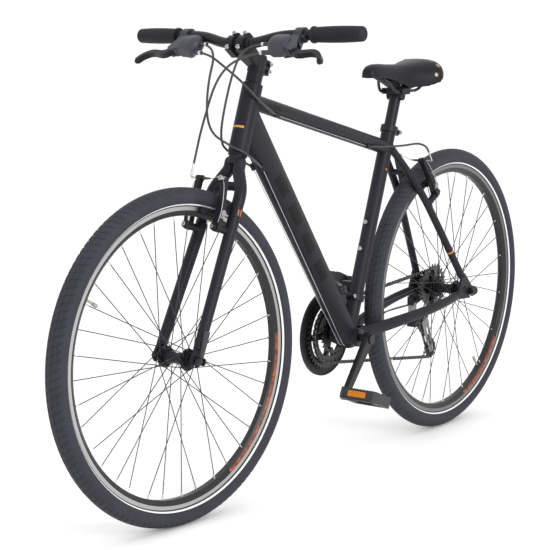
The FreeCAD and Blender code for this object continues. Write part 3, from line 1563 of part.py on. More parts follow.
def make_release_lever():
    """The cam lever that flips out from the skewer's boss."""
    pin_y = release_pin_y()
    wide = V(release_hub_half_width, 0, 0)
    centre = V(0, pin_y, 0)
    half = release_lever_thickness / 2
    hub = rod(centre - wide, centre + wide, release_hub_radius)
    neck = block(V(-release_hub_half_width, pin_y - half, 0), V(release_hub_half_width, pin_y + half, release_neck_length))
    blade = strap(V(0, 0, release_neck_length), release_hub_half_width, V(0, 0, release_lever_length),
                  release_lever_radius, pin_y - half, pin_y + half)
    hole = rod(centre - wide * 2, centre + wide * 2, release_pin_radius + running_gap)
    lever = fused([hub, neck, blade]).cut(hole)
    return placed(lever, front_wheel_place())


def front_wheel_place():
    return steer_place.multiply(Placement(V(fork_rake, 0, 0), Rotation()))


def rear_wheel_place():
    return Placement(rear_axle, Rotation())


# Chain drive

def pitch_radius(teeth):
    return chain_pitch / (2 * math.sin(math.pi / teeth))


def root_radius(teeth):
    return pitch_radius(teeth) - roller_radius - tooth_seat_gap


def toothed_outline(teeth, phase):
    """A sprocket's edge: round seats for the rollers with straight flanks between them."""
    pitch = pitch_radius(teeth)
    seat = roller_radius + tooth_seat_gap
    step = 360 / teeth
    tip_offset = step / 2 * (1 - tooth_tip_share)
    edges = []
    first = None
    before = None
    for index in range(teeth):
        angle = phase + index * step
        centre = polar(V(0, 0, 0), pitch, angle)
        enter = polar(centre, seat, angle + 180 + tooth_seat_half_angle)
        middle = polar(centre, seat, angle + 180)
        leave = polar(centre, seat, angle + 180 - tooth_seat_half_angle)
        tip_before = polar(V(0, 0, 0), pitch + tooth_height, angle - tip_offset)
        tip_after = polar(V(0, 0, 0), pitch + tooth_height, angle + tip_offset)
        if before is None:
            first = tip_before
        else:
            edges.append(line(before, tip_before))
        edges.append(line(tip_before, enter))
        edges.append(Part.Arc(enter, middle, leave).toShape())
        edges.append(line(leave, tip_after))
        before = tip_after
    edges.append(line(before, first))
    return Part.Wire(edges)


def toothed_plate(teeth, phase, centre, y_middle, thickness):
    plate = upright_plate(toothed_outline(teeth, phase), y_middle - thickness / 2, y_middle + thickness / 2)
    plate.translate(V(centre.x, 0, centre.z))
    return plate


guide_centre = V(rear_axle.x + guide_pulley_ahead, 0, rear_axle.z - guide_pulley_drop)


def tension_centre(cage_angle):
    return polar(guide_centre, cage_length, cage_angle)


def chain_wheels(cage_angle):
    """The wheels in the order the chain runs over them, with a sign for the turning direction."""
    return [(bracket, pitch_radius(ring_teeth[driving_ring]), 1),
            (tension_centre(cage_angle), pitch_radius(pulley_teeth), 1),
            (guide_centre, pitch_radius(pulley_teeth), -1),
            (rear_axle, pitch_radius(sprocket_teeth[driven_sprocket]), 1)]


def chain_runs(cage_angle):
    """Straight runs and arcs of the chain's pitch line, each as (length, point function)."""
    wheels = chain_wheels(cage_angle)
    headings = []
    for index, (centre, radius, sign) in enumerate(wheels):
        other, other_radius, other_sign = wheels[(index + 1) % len(wheels)]
        run = other - centre
        lean = math.asin((radius * sign - other_radius * other_sign) / run.Length)
        headings.append(math.degrees(math.atan2(run.z, run.x) - lean))
    runs = []
    for index, (centre, radius, sign) in enumerate(wheels):
        arrive, depart = headings[index - 1], headings[index]
        turn = ((arrive - depart) * sign) % 360
        start_angle = arrive + 90 * sign
        runs.append((math.radians(turn) * radius, centre, radius, start_angle, sign, None))
        other, other_radius, other_sign = wheels[(index + 1) % len(wheels)]
        start = polar(centre, radius, depart + 90 * sign)
        end = polar(other, other_radius, depart + 90 * other_sign)
        runs.append(((end - start).Length, start, 0, 0, 0, unit(end - start)))
    return runs


def chain_point(runs, distance):
    total = sum(run[0] for run in runs)
    left = distance % total
    for length, origin, radius, start_angle, sign, heading in runs:
        if left <= length:
            if heading is None:
                return polar(origin, radius, start_angle - sign * math.degrees(left / radius))
            return origin + heading * left
        left -= length
    return chain_point(runs, 0)


def chain_steps(runs, count):
    """Pin distances along the pitch line, each pin exactly one pitch from the last."""
    places = [0]
    for _ in range(count):
        here = chain_point(runs, places[-1])
        low, high = [places[-1] + chain_pitch * share for share in pin_search_shares]
        for _ in range(40):
            middle = (low + high) / 2
            if (chain_point(runs, middle) - here).Length < chain_pitch:
                low = middle
            else:
                high = middle
        places.append((low + high) / 2)
    return places


def solve_cage():
    """The cage angle at which a whole even number of links closes the loop."""
    runs = chain_runs(cage_first_angle)
    total = sum(run[0] for run in runs)
    count = 2 * round(total / chain_pitch / 2)
    low, high = cage_first_angle - cage_search_span, cage_first_angle + cage_search_span

    def excess(angle):
        trial = chain_runs(angle)
        return chain_steps(trial, count)[-1] - sum(run[0] for run in trial)

    rising = excess(high) > excess(low)
    for _ in range(30):
        middle = (low + high) / 2
        if (excess(middle) > 0) == rising:
            high = middle
        else:
            low = middle
    return (low + high) / 2, count


cage_angle, link_count = solve_cage()
pin_runs = chain_runs(cage_angle)
pin_places = chain_steps(pin_runs, link_count)
pin_points = [chain_point(pin_runs, place) for place in pin_places[:-1]]
closing_gap = pin_places[-1] - sum(run[0] for run in pin_runs)
print("chain: %d links, cage angle %.3f, closing gap %.4f" % (link_count, cage_angle, closing_gap))


def phase_on(centre, teeth):
    """The tooth phase that puts a wheel's seats under the chain's rollers."""
    pitch = pitch_radius(teeth)
    best = min(pin_points, key=lambda point: abs((point - V(centre.x, 0, centre.z)).Length - pitch))
    run = best - V(centre.x, 0, centre.z)
    return math.degrees(math.atan2(run.z, run.x))


def waisted_plate(y_start, y_end):
    """A chain side plate between two pins, rounded at both ends and narrower in the middle."""
    inset = math.sqrt(chain_plate_radius ** 2 - chain_plate_waist ** 2)
    high, low = V(0, 0, chain_plate_waist), V(0, 0, -chain_plate_waist)
    near, far = V(inset, 0, 0), V(chain_pitch - inset, 0, 0)
    outline = [Part.Arc(near + high, V(-chain_plate_radius, 0, 0), near + low).toShape(),
               line(near + low, far + low),
               Part.Arc(far + low, V(chain_pitch + chain_plate_radius, 0, 0), far + high).toShape(),
               line(far + high, near + high)]
    return upright_plate(Part.Wire(outline), y_start, y_end)


def inner_link():
    outer = chain_inner_half_width + chain_plate_thickness
    shapes = [waisted_plate(chain_inner_half_width, outer), waisted_plate(-outer, -chain_inner_half_width)]
    holes = []
    for x in (0, chain_pitch):
        half = V(0, chain_inner_half_width, 0)
        shapes.append(rod(V(x, 0, 0) - half, V(x, 0, 0) + half, roller_radius))
        holes.append(rod(V(x, -outer - overrun, 0), V(x, outer + overrun, 0), chain_roller_bore))
    return fused(shapes).cut(holes)


def outer_link():
    near = chain_inner_half_width + chain_plate_thickness + chain_plate_gap
    far = near + chain_plate_thickness
    shapes = [waisted_plate(near, far), waisted_plate(-far, -near)]
    for x in (0, chain_pitch):
        end = V(0, far + chain_pin_proud, 0)
        shapes.append(rod(V(x, 0, 0) - end, V(x, 0, 0) + end, chain_pin_radius))
    return fused(shapes)


def make_chain():
    templates = (inner_link(), outer_link())
    links = []
    for index, start in enumerate(pin_points):
        end = pin_points[(index + 1) % link_count]
        run = end - start
        slope = math.degrees(math.atan2(run.z, run.x))
        place = Placement(V(start.x, chain_line, start.z), Rotation(side_y, -slope))
        links.append(placed(templates[index % 2], place))
    return links


def sprocket_y(index):
    return chain_line + (driven_sprocket - index) * sprocket_spacing


def make_cassette():
    """Seven sprockets with open webs on one sleeve that runs on the axle."""
    half = sprocket_thickness / 2
    inner_y = sprocket_y(0) + half + freewheel_inner_extra
    outer_y = sprocket_y(len(sprocket_teeth) - 1) - half - freewheel_outer_extra
    shapes = [rod(rear_axle + side_y * outer_y, rear_axle + side_y * inner_y, freewheel_radius)]
    for index, teeth in enumerate(sprocket_teeth):
        phase = phase_on(rear_axle, teeth) if index == driven_sprocket else 0
        plate = toothed_plate(teeth, phase, rear_axle, sprocket_y(index), sprocket_thickness)
        web = root_radius(teeth) - sprocket_web_margin / 2
        slot_circle = (web + freewheel_spacer_radius) / 2
        slot_radius = (web - freewheel_spacer_radius) / 2 - sprocket_thickness / 2
        if slot_radius > sprocket_thickness:
            across = side_y * sprocket_thickness
            cuts = []
            for turn in range(spider_arm_count):
                spot = polar(rear_axle, slot_circle, turn * 360 / spider_arm_count)
                spot = spot + side_y * sprocket_y(index)
                cuts.append(rod(spot - across, spot + across, slot_radius))
            plate = plate.cut(cuts)
        shapes.append(plate)
    body = fused(shapes)
    bore = rod(rear_axle + side_y * (outer_y - overrun), rear_axle + side_y * (inner_y + overrun),
               cone_radius + running_gap)
    return largest(body.cut(bore))


def ring_y(index):
    return chain_line + (driving_ring - index) * ring_spacing


def ring_bolt_angles():
    return [crank_angle + 180 + index * 360 / spider_arm_count for index in range(spider_arm_count)]


def make_chainrings():
    """Three chainrings, each a toothed band with tabs that reach in to its bolts."""
    rings = []
    bolts = []
    half = ring_thickness / 2
    for index, teeth in enumerate(ring_teeth):
        phase = phase_on(bracket, teeth) if index == driving_ring else crank_angle
        band = small_ring_band if index == 0 else ring_band
        circle = small_ring_bolt_circle if index == 0 else ring_bolt_circle
        inner = root_radius(teeth) - band
        middle = ring_y(index)
        plate = toothed_plate(teeth, phase, bracket, middle, ring_thickness)
        across = side_y * overrun
        centre = bracket + side_y * middle
        plate = plate.cut(rod(centre - across, centre + across, inner))
        holes = []
        for angle in ring_bolt_angles():
            tab_radius = ring_tab_radius if index else small_ring_band
            edge_radius = root_radius(teeth) - tab_radius - half
            spot, edge = polar(bracket, circle, angle), polar(bracket, edge_radius, angle)
            if (edge - spot).Length > tab_radius / 2:
                tab = strap(spot, tab_radius, edge, tab_radius, middle - half, middle + half)
            else:
                tab = rod(spot + side_y * (middle - half), spot + side_y * (middle + half), tab_radius)
            plate = plate.fuse(tab)
            hole = spot + side_y * middle
            holes.append(rod(hole - across, hole + across, ring_bolt_radius))
        rings.append(largest(plate.removeSplitter().cut(holes)))
    outer_face = ring_y(2) - half
    inner_face = ring_y(1) + half
    small_face = ring_y(0) + half
    spider_inner = ring_y(1) - half
    for angle in ring_bolt_angles():
        spot = polar(bracket, ring_bolt_circle, angle)
        bolts.append(fused([rod(spot + side_y * outer_face, spot + side_y * inner_face, ring_bolt_radius),
                            rod(spot + side_y * (outer_face - ring_thickness), spot + side_y * outer_face,
                                ring_bolt_radius + ring_thickness / 2)]))
        spot = polar(bracket, small_ring_bolt_circle, angle)
        bolts.append(fused([rod(spot + side_y * spider_inner, spot + side_y * small_face, ring_bolt_radius),
                            rod(spot + side_y * small_face, spot + side_y * (small_face + ring_thickness),
                                ring_bolt_radius + ring_thickness / 2)]))
    return rings + bolts


def make_chain_guard():
    """A flat guard ring with a turned-in lip, on posts that stand on the outer chainring."""
    outer_face = ring_y(2) - ring_thickness / 2
    middle = chain_line - guard_offset
    half = guard_thickness / 2
    ring = lathe([(guard_inner_radius, middle - half), (guard_outer_radius, middle - half),
                  (guard_outer_radius, middle + half + guard_lip_depth),
                  (guard_outer_radius - guard_lip_width, middle + half + guard_lip_depth),
                  (guard_outer_radius - guard_lip_width, middle + half), (guard_inner_radius, middle + half)],
                 bracket)
    shapes = [ring]
    for angle in ring_bolt_angles():
        angle = angle + 180 / spider_arm_count
        spot = polar(bracket, guard_post_circle, angle)
        shapes.append(rod(spot + side_y * (middle - half), spot + side_y * outer_face, guard_post_radius))
    return fused(shapes)


def crank_arm(side, angle, inner_y, outer_y):
    """A forged arm from a round boss out to the pedal eye."""
    foot = bracket + side_y * (side * (inner_y + outer_y) / 2)
    eye = polar(bracket, crank_length, angle)
    tip = eye + side_y * (side * (crank_eye_inner_y + crank_eye_outer_y) / 2)
    heading = tip - foot
    root = section_at(rounded_rectangle(crank_root_thickness / 2, crank_root_width / 2, crank_corner),
                      foot, side_y, heading)
    end = section_at(rounded_rectangle(crank_end_thickness / 2, crank_end_width / 2, crank_corner),
                     tip, side_y, heading)
    arm = Part.makeLoft([root, end], True, True)
    boss = rod(bracket + side_y * (side * inner_y), bracket + side_y * (side * outer_y), crank_boss_radius)
    tip_boss = rod(eye + side_y * (side * crank_eye_inner_y), eye + side_y * (side * crank_eye_outer_y),
                   crank_eye_radius)
    return arm, boss, tip_boss, eye


def pedal_eye(side):
    return polar(bracket, crank_length, crank_angle if side > 0 else crank_angle + 180)


def make_crank_arms():
    """The left arm, and the right arm with its five-armed spider."""
    spindle = rod(bracket - side_y * crank_eye_outer_y, bracket + side_y * crank_eye_outer_y, spindle_radius)
    arms = []
    for side, inner_y, outer_y in ((1, crank_inner_y, crank_outer_y),
                                   (-1, right_crank_inner_y, right_crank_outer_y)):
        angle = crank_angle if side > 0 else crank_angle + 180
        arm, boss, tip_boss, eye = crank_arm(side, angle, inner_y, outer_y)
        shapes = [boss, arm, tip_boss]
        bore = rod(eye + side_y * (side * (crank_eye_inner_y - overrun)),
                   eye + side_y * (side * (crank_eye_outer_y + overrun)), pedal_axle_radius)
        cap_end = outer_y + spindle_bolt_height + overrun
        cap = rod(bracket + side_y * (side * outer_y), bracket + side_y * (side * cap_end), spindle_bolt_radius)
        cuts = [spindle, bore, cap]
        if side < 0:
            inner_face = ring_y(1) - ring_thickness / 2
            outer_face = ring_y(2) + ring_thickness / 2
            shapes.append(rod(bracket + side_y * inner_face, bracket - side_y * inner_y, spider_hub_radius))
            for spoke in ring_bolt_angles():
                spot = polar(bracket, ring_bolt_circle, spoke)
                shapes.append(strap(bracket, spider_arm_root_radius, spot, ring_tab_radius, outer_face, inner_face))
                cuts.append(rod(spot + side_y * (outer_face - overrun), spot + side_y * (inner_face + overrun),
                                ring_bolt_radius))
                post = polar(bracket, small_ring_bolt_circle, spoke)
                small_face = ring_y(0) - ring_thickness / 2
                shapes.append(rod(post + side_y * inner_face, post + side_y * small_face, spider_post_radius))
                cuts.append(rod(post + side_y * (inner_face - overrun), post + side_y * (small_face + overrun),
                                ring_bolt_radius))
        arms.append(largest(fused(shapes).cut(cuts)))
    return arms


def make_crank_axles():
    """The square-ended spindle's round run with its end bolts, and the two pedal axles."""
    spindle = rod(bracket - side_y * right_crank_outer_y, bracket + side_y * crank_outer_y, spindle_radius)
    cap_left = rod(bracket + side_y * crank_outer_y, bracket + side_y * (crank_outer_y + spindle_bolt_height),
                   spindle_bolt_radius)
    cap_right = rod(bracket - side_y * right_crank_outer_y,
                    bracket - side_y * (right_crank_outer_y + spindle_bolt_height), spindle_bolt_radius)
    pieces = [fused([spindle, cap_left, cap_right])]
    for side in (1, -1):
        eye = pedal_eye(side)
        pieces.append(rod(eye + side_y * (side * crank_eye_inner_y),
                          eye + side_y * (side * (crank_eye_inner_y + pedal_axle_length)), pedal_axle_radius))
    return pieces


def pedal_body():
    """A platform pedal with two openings, notched rails and a hub, lying flat with its axle along Y."""
    outline = rounded_rectangle(pedal_depth / 2, pedal_width / 2, pedal_corner)
    face = Part.Face(outline)
    face.translate(V(0, pedal_width / 2, -pedal_height / 2))
    body = face.extrude(V(0, 0, pedal_height))
    cuts = []
    for side in (1, -1):
        near, far = side * (pedal_hub_radius + moving_gap), side * (pedal_depth / 2 - pedal_rail)
        low, high = min(near, far), max(near, far)
        cuts.append(block(V(low, pedal_rail, -pedal_height), V(high, pedal_width - pedal_rail, pedal_height)))
        scoop = V(0, 0, side * (pedal_height / 2 + pedal_side_scoop - pedal_scoop_depth))
        cuts.append(rod(scoop - V(pedal_depth, 0, 0) + V(0, pedal_width / 2, 0),
                        scoop + V(pedal_depth, 0, 0) + V(0, pedal_width / 2, 0), pedal_side_scoop * 2)
                    .common(block(V(-pedal_hub_radius * 2, pedal_rail, -pedal_height),
                                  V(pedal_hub_radius * 2, pedal_width - pedal_rail, pedal_height))))
        count = int((pedal_width - pedal_corner * 2) / pedal_tooth_pitch)
        for level in (1, -1):
            for index in range(count):
                y = pedal_corner + (index + pedal_tooth_start_share) * pedal_tooth_pitch
                z = level * (pedal_height / 2)
                cuts.append(block(V(min(side * pedal_depth / 2, far), y, z - pedal_tooth_depth),
                                  V(max(side * pedal_depth / 2, far), y + pedal_tooth_pitch / 2,
                                    z + pedal_tooth_depth)))
        reflector_x = side * (pedal_depth / 2 - reflector_depth)
        low, high = min(reflector_x, side * pedal_depth), max(reflector_x, side * pedal_depth)
        cuts.append(block(V(low, pedal_width / 2 - reflector_width / 2, -reflector_height / 2),
                          V(high, pedal_width / 2 + reflector_width / 2, reflector_height / 2)))
    hub = rod(V(0, 0, 0), V(0, pedal_width, 0), pedal_hub_radius)
    body = body.cut(cuts).fuse(hub).removeSplitter()
    bore_end = crank_eye_inner_y + pedal_axle_length - crank_eye_outer_y - pedal_gap + moving_gap
    return largest(body.cut(rod(V(0, -overrun, 0), V(0, bore_end, 0), pedal_axle_radius + running_gap)))


def pedal_reflector(side):
    near, far = side * (pedal_depth / 2 - reflector_depth), side * pedal_depth / 2
    return block(V(min(near, far), pedal_width / 2 - reflector_width / 2, -reflector_height / 2),
                 V(max(near, far), pedal_width / 2 + reflector_width / 2, reflector_height / 2))


def make_pedal(side):
    eye = pedal_eye(side)
    pieces = [pedal_body(), pedal_reflector(1), pedal_reflector(-1)]
    out = []
    for piece in pieces:
        moved = placed(piece, Placement(V(0, crank_eye_outer_y + pedal_gap, 0), Rotation(side_y, pedal_tilt)))
        moved = moved if side > 0 else mirrored(moved)
        out.append(placed(moved, Placement(eye, Rotation())))
    return out


# Rear derailleur

hanger_spot = V(rear_axle.x + hanger_ahead, 0, rear_axle.z - hanger_drop)
link_x = (hanger_spot.x + guide_centre.x) / 2
link_high = guide_centre.z + link_length_down


def cross_pin(y, z, centre_x, half, radius):
    return rod(V(centre_x - half, y, z), V(centre_x + half, y, z), radius)


def link_lugs(y_low, y_high, z_low, z_high):
    """A pair of lugs fore and aft of the links."""
    near = link_depth / 2 + moving_gap
    far = near + link_thickness
    return [block(V(link_x + near, y_low, z_low), V(link_x + far, y_high, z_high)),
            block(V(link_x - far, y_low, z_low), V(link_x - near, y_high, z_high))]


def make_derailleur_mounts():
    """The rear derailleur's hanging knuckle with its bolt, and the front derailleur's clamp and bracket."""
    face = -(dropout_spacing / 2 + dropout_thickness)
    end = link_outer_y - link_end_radius
    knuckle = rod(hanger_spot + side_y * face, hanger_spot + side_y * end, knuckle_radius)
    bolt = rod(hanger_spot + side_y * (face + dropout_thickness), hanger_spot + side_y * face, hanger_hole_radius)
    reach = link_depth / 2 + moving_gap + link_thickness
    top_low = link_high + link_end_radius + moving_gap
    shelf = block(V(hanger_spot.x - knuckle_radius, end, top_low),
                  V(link_x + reach, face - link_thickness / 2, hanger_spot.z))
    lugs = link_lugs(end, face - link_thickness / 2, link_high - link_end_radius, hanger_spot.z)
    pins = [cross_pin(y, link_high, link_x, reach, link_pin_radius) for y in (link_inner_y, link_outer_y)]
    room = block(V(link_x - link_depth / 2 - moving_gap, end - overrun, link_high - overrun * 3),
                 V(link_x + link_depth / 2 + moving_gap, face, top_low))
    body = fused([knuckle, shelf] + lugs).cut(room)
    rear = fused([body, bolt] + pins)
    return [largest(rear)] + make_shifter_bracket()


def derailleur_link(y):
    """One flat link of the parallelogram, hanging from its upper pin."""
    half = link_depth / 2
    plate = strap(V(y, 0, link_high), link_end_radius, V(y, 0, guide_centre.z), link_end_radius, -half, half)
    plate = placed(plate, Placement(V(link_x, 0, 0), Rotation(V(0, 0, 1), 90)))
    holes = [cross_pin(y, z, link_x, link_depth, link_pin_radius + running_gap)
             for z in (link_high, guide_centre.z)]
    return plate.cut(holes)


def make_derailleur_body():
    """The lower knuckle: a barrel round the cage's pivot, with lugs for the links' lower pins."""
    cage_face = chain_line - cage_plate_gap - cage_plate_thickness
    start = cage_face - moving_gap
    stop = link_inner_y + link_end_radius + link_thickness
    barrel = rod(guide_centre + side_y * start, guide_centre + side_y * stop, knuckle_radius)
    reach = link_depth / 2 + moving_gap + link_thickness
    end = link_outer_y - link_end_radius
    low = guide_centre.z - knuckle_radius
    shelf_top = guide_centre.z - link_end_radius - moving_gap
    shelf = block(V(link_x - reach, end, low - link_thickness), V(link_x + reach, stop + link_thickness, shelf_top))
    lugs = link_lugs(end, stop - moving_gap, low, guide_centre.z + link_end_radius)
    pins = [cross_pin(y, guide_centre.z, link_x, reach, link_pin_radius) for y in (link_inner_y, link_outer_y)]
    bore = rod(guide_centre + side_y * (start + overrun), guide_centre + side_y * (stop + link_thickness),
               hanger_hole_radius + running_gap)
    room = block(V(link_x - link_depth / 2 - moving_gap, end - overrun, shelf_top),
                 V(link_x + link_depth / 2 + moving_gap, stop - moving_gap, link_high))
    body = fused([barrel, shelf] + lugs).cut([bore, room])
    return largest(fused([largest(body)] + pins))


def cage_plate(y_start, y_end):
    tension = tension_centre(cage_angle)
    plate = strap(guide_centre, cage_plate_end_radius, tension, cage_plate_tail_radius, y_start, y_end)
    along = unit(tension - guide_centre)
    window_start = guide_centre + along * (cage_plate_end_radius + cage_window_margin)
    window_end = tension - along * (cage_plate_tail_radius + cage_window_margin)
    window = strap(window_start, cage_window_margin, window_end, cage_window_margin / 2,
                   y_start - overrun, y_end + overrun)
    return plate.cut(window)


def make_derailleur_cage():
    """Two pierced plates joined by the pulley bolts, with a pivot stub into the lower knuckle."""
    near, far = chain_line - cage_plate_gap, chain_line - cage_plate_gap - cage_plate_thickness
    inner_near, inner_far = chain_line + cage_plate_gap, chain_line + cage_plate_gap + cage_plate_thickness
    shapes = [cage_plate(far, near), cage_plate(inner_near, inner_far)]
    for centre in (guide_centre, tension_centre(cage_angle)):
        shapes.append(rod(centre + side_y * far, centre + side_y * inner_far, pulley_bore_radius - running_gap))
    stop = link_inner_y + link_end_radius + link_thickness
    shapes.append(rod(guide_centre + side_y * far, guide_centre + side_y * (stop + link_thickness + moving_gap),
                      hanger_hole_radius))
    return fused(shapes)


def make_pulley(centre):
    phase = phase_on(centre, pulley_teeth)
    plate = toothed_plate(pulley_teeth, phase, centre, chain_line, pulley_thickness)
    half = side_y * pulley_hub_half_width
    middle = V(centre.x, chain_line, centre.z)
    hub = rod(middle - half, middle + half, pulley_hub_radius)
    cuts = [rod(middle - half * 2, middle + half * 2, pulley_bore_radius)]
    return fused([plate, hub]).cut(cuts)


# Front derailleur

shifter_x = bracket.x - shifter_pivot_back
shifter_high = bracket.z + shifter_pivot_up
shifter_low = shifter_high - shifter_link_drop


def make_shifter_bracket():
    """A clamp band round the seat tube, its bolt, and a bracket that holds the link's upper pin."""
    low = bracket + seat_up * (shifter_clamp_reach - shifter_clamp_height / 2)
    high = bracket + seat_up * (shifter_clamp_reach + shifter_clamp_height / 2)
    band = rod(low, high, shifter_clamp_radius)
    middle = (low + high) * 0.5
    near = shifter_link_thickness / 2 + moving_gap
    far = near + shifter_link_thickness
    top = shifter_high + shifter_link_radius + shifter_link_thickness
    post = block(V(shifter_x - far, shifter_y + shifter_link_radius + shifter_link_thickness * 2, middle.z),
                 V(shifter_x + far, 0, top))
    roof = block(V(shifter_x - far, shifter_y - shifter_link_radius, shifter_high + shifter_link_radius + moving_gap),
                 V(shifter_x + far, 0, top))
    lugs = [block(V(shifter_x + side * (near + far) / 2 - shifter_link_thickness / 2,
                    shifter_y - shifter_link_radius, shifter_high - shifter_link_radius),
                  V(shifter_x + side * (near + far) / 2 + shifter_link_thickness / 2, 0, top))
            for side in (1, -1)]
    pin = cross_pin(shifter_y, shifter_high, shifter_x, far, shifter_link_pin)
    ear_centre = middle + seat_ahead * (shifter_clamp_radius + collar_bolt_radius / 2)
    ear = rod(ear_centre - side_y * shifter_arm_radius, ear_centre + side_y * shifter_arm_radius, shifter_arm_radius)
    bolt_end = ear_centre + side_y * (shifter_arm_radius + collar_bolt_head_radius)
    bolt = fused([rod(ear_centre - side_y * shifter_arm_radius, bolt_end, collar_bolt_radius),
                  rod(ear_centre + side_y * shifter_arm_radius, bolt_end, collar_bolt_head_radius)])
    body = fused([band, post, roof, ear] + lugs).cut([seat_outer, bolt])
    return [largest(fused([largest(body), pin])), bolt]


def make_shifter_link():
    half = shifter_link_thickness / 2
    plate = strap(V(shifter_y, 0, shifter_high), shifter_link_radius, V(shifter_y, 0, shifter_low),
                  shifter_link_radius, -half, half)
    plate = placed(plate, Placement(V(shifter_x, 0, 0), Rotation(V(0, 0, 1), 90)))
    holes = [cross_pin(shifter_y, z, shifter_x, shifter_link_thickness, shifter_link_pin + running_gap)
             for z in (shifter_high, shifter_low)]
    return plate.cut(holes)


def ring_sector(centre, inner, outer, first, last, y_start, y_end):
    """A flat plate between two arcs about a wheel's centre."""
    middle = (first + last) / 2
    edges = [Part.Arc(polar(centre, inner, first), polar(centre, inner, middle), polar(centre, inner, last)).toShape(),
             line(polar(centre, inner, last), polar(centre, outer, last)),
             Part.Arc(polar(centre, outer, last), polar(centre, outer, middle), polar(centre, outer, first)).toShape(),
             line(polar(centre, outer, first), polar(centre, inner, first))]
    return upright_plate(Part.Wire(edges), y_start, y_end)


def make_shifter_cage():
    """Two curved cage plates round the chain's top run, joined above it, with a tab for the link's lower pin."""
    first, last = shifter_cage_front_angle, shifter_cage_rear_angle
    near = shifter_cage_half_width
    far = near + shifter_plate_thickness
    inner = ring_sector(bracket, shifter_cage_inner_radius, shifter_cage_outer_radius, first, last,
                        chain_line + near, chain_line + far)
    outer = ring_sector(bracket, shifter_cage_outer_plate_radius, shifter_cage_outer_radius, first, last,
                        chain_line - far, chain_line - near)
    shapes = [inner, outer]
    roof_low = shifter_cage_outer_radius - shifter_plate_thickness
    shapes.append(ring_sector(bracket, roof_low, shifter_cage_outer_radius, first + shifter_bridge_angle * 2,
                              first + shifter_bridge_angle * 8, chain_line - far, chain_line + far))
    tail = last - shifter_bridge_angle
    shapes.append(ring_sector(bracket, shifter_cage_outer_plate_radius, shifter_cage_outer_plate_radius
                              + shifter_bridge_depth, tail, last, chain_line - far, chain_line + far))
    gap = shifter_link_thickness / 2 + moving_gap
    wide = gap + shifter_link_thickness
    inner_face = chain_line + far
    for side in (1, -1):
        low_x = shifter_x + (gap if side > 0 else -wide)
        shapes.append(block(V(low_x, inner_face - shifter_plate_thickness / 2, shifter_low - shifter_link_radius),
                            V(low_x + shifter_link_thickness, shifter_y + shifter_link_radius,
                              shifter_low + shifter_link_radius)))
    shapes.append(cross_pin(shifter_y, shifter_low, shifter_x, wide, shifter_link_pin))
    return fused(shapes)


# Rim brakes, made in a frame along the pivot, across, and up the arm

def arm_strap(point_a, radius_a, point_b, radius_b, x_start, x_end):
    """A flat strap in the plane across the wheel, from pairs of (y, up)."""
    plate = strap(V(point_a[0], 0, point_a[1]), radius_a, V(point_b[0], 0, point_b[1]), radius_b, -x_end, -x_start)
    return placed(plate, Placement(V(0, 0, 0), Rotation(V(0, 0, 1), 90)))


def brake_pad(axle_ahead):
    """A brake block that follows the rim's curve, on the left side."""
    low_y = rim_half_width + pad_gap
    middle_radius = (pad_inner_radius + pad_outer_radius) / 2
    ahead = boss_length + moving_gap + arm_depth / 2 - axle_ahead
    angle = math.degrees(math.acos(ahead / middle_radius))
    pad = ring_sector(V(0, 0, 0), pad_inner_radius, pad_outer_radius, angle - pad_half_angle, angle + pad_half_angle,
                      low_y, low_y + pad_thickness)
    pad.translate(V(axle_ahead, 0, -boss_radius))
    post = V(axle_ahead, 0, -boss_radius) + V(ahead, 0, middle_radius * math.sin(math.radians(angle)))
    return pad, post


def brake_arm(axle_ahead, noodle_side):
    """One arm with its block, post, nut and cable fitting, on the left side of the brake's frame."""
    near, far = boss_length + moving_gap, boss_length + moving_gap + arm_depth
    base, knee, top = (boss_half_spacing, 0), (arm_knee_y, arm_knee_up), (arm_top_y, arm_top_up)
    shapes = [arm_strap(base, arm_base_radius, knee, arm_knee_radius, near, far),
              arm_strap(knee, arm_knee_radius, top, arm_top_radius, near, far)]
    pad, post = brake_pad(axle_ahead)
    pad_back = rim_half_width + pad_gap + pad_thickness
    nut_y = arm_knee_y + arm_knee_radius
    shapes.append(rod(post + side_y * pad_back, post + side_y * (nut_y + pad_nut_height), pad_post_radius))
    shapes.append(rod(post + side_y * nut_y, post + side_y * (nut_y + pad_nut_height), pad_nut_radius))
    shapes.append(rod(post + side_y * pad_back, post + side_y * (pad_back + pad_nut_height), pad_nut_radius))
    middle_x = (near + far) / 2
    if noodle_side:
        spot = V(middle_x, arm_top_y, arm_top_up)
        shapes.append(rod(spot - side_y * (cradle_length / 2), spot + side_y * (cradle_length / 2),
                          noodle_radius + boot_radius))
    else:
        spot = V(near, arm_top_y, arm_top_up)
        shapes.append(rod(spot, spot + V(arm_depth + anchor_height, 0, 0), anchor_radius))
    holes = [rod(V(near - overrun, boss_half_spacing, 0), V(far + overrun, boss_half_spacing, 0),
                 boss_pin_radius + running_gap)]
    if noodle_side:
        holes.append(rod(V(middle_x, arm_top_y - cradle_length, arm_top_up),
                         V(middle_x, arm_top_y + cradle_length, arm_top_up), noodle_radius + seat_gap))
    else:
        holes.append(rod(V(far + anchor_height / 2, arm_top_y - cradle_length, arm_top_up + anchor_radius / 2),
                         V(far + anchor_height / 2, arm_top_y + cradle_length, arm_top_up + anchor_radius / 2),
                         wire_radius + seat_gap))
    return [largest(fused(shapes).cut(holes)), pad]


def make_brake_arm(place, axle_ahead, noodle_side):
    """An arm moved to its wheel; the noodle's arm is the one on the frame's minus Y side."""
    pieces = brake_arm(axle_ahead, noodle_side)
    pieces = [mirrored(piece) if noodle_side else piece for piece in pieces]
    return [placed(piece, place) for piece in pieces]


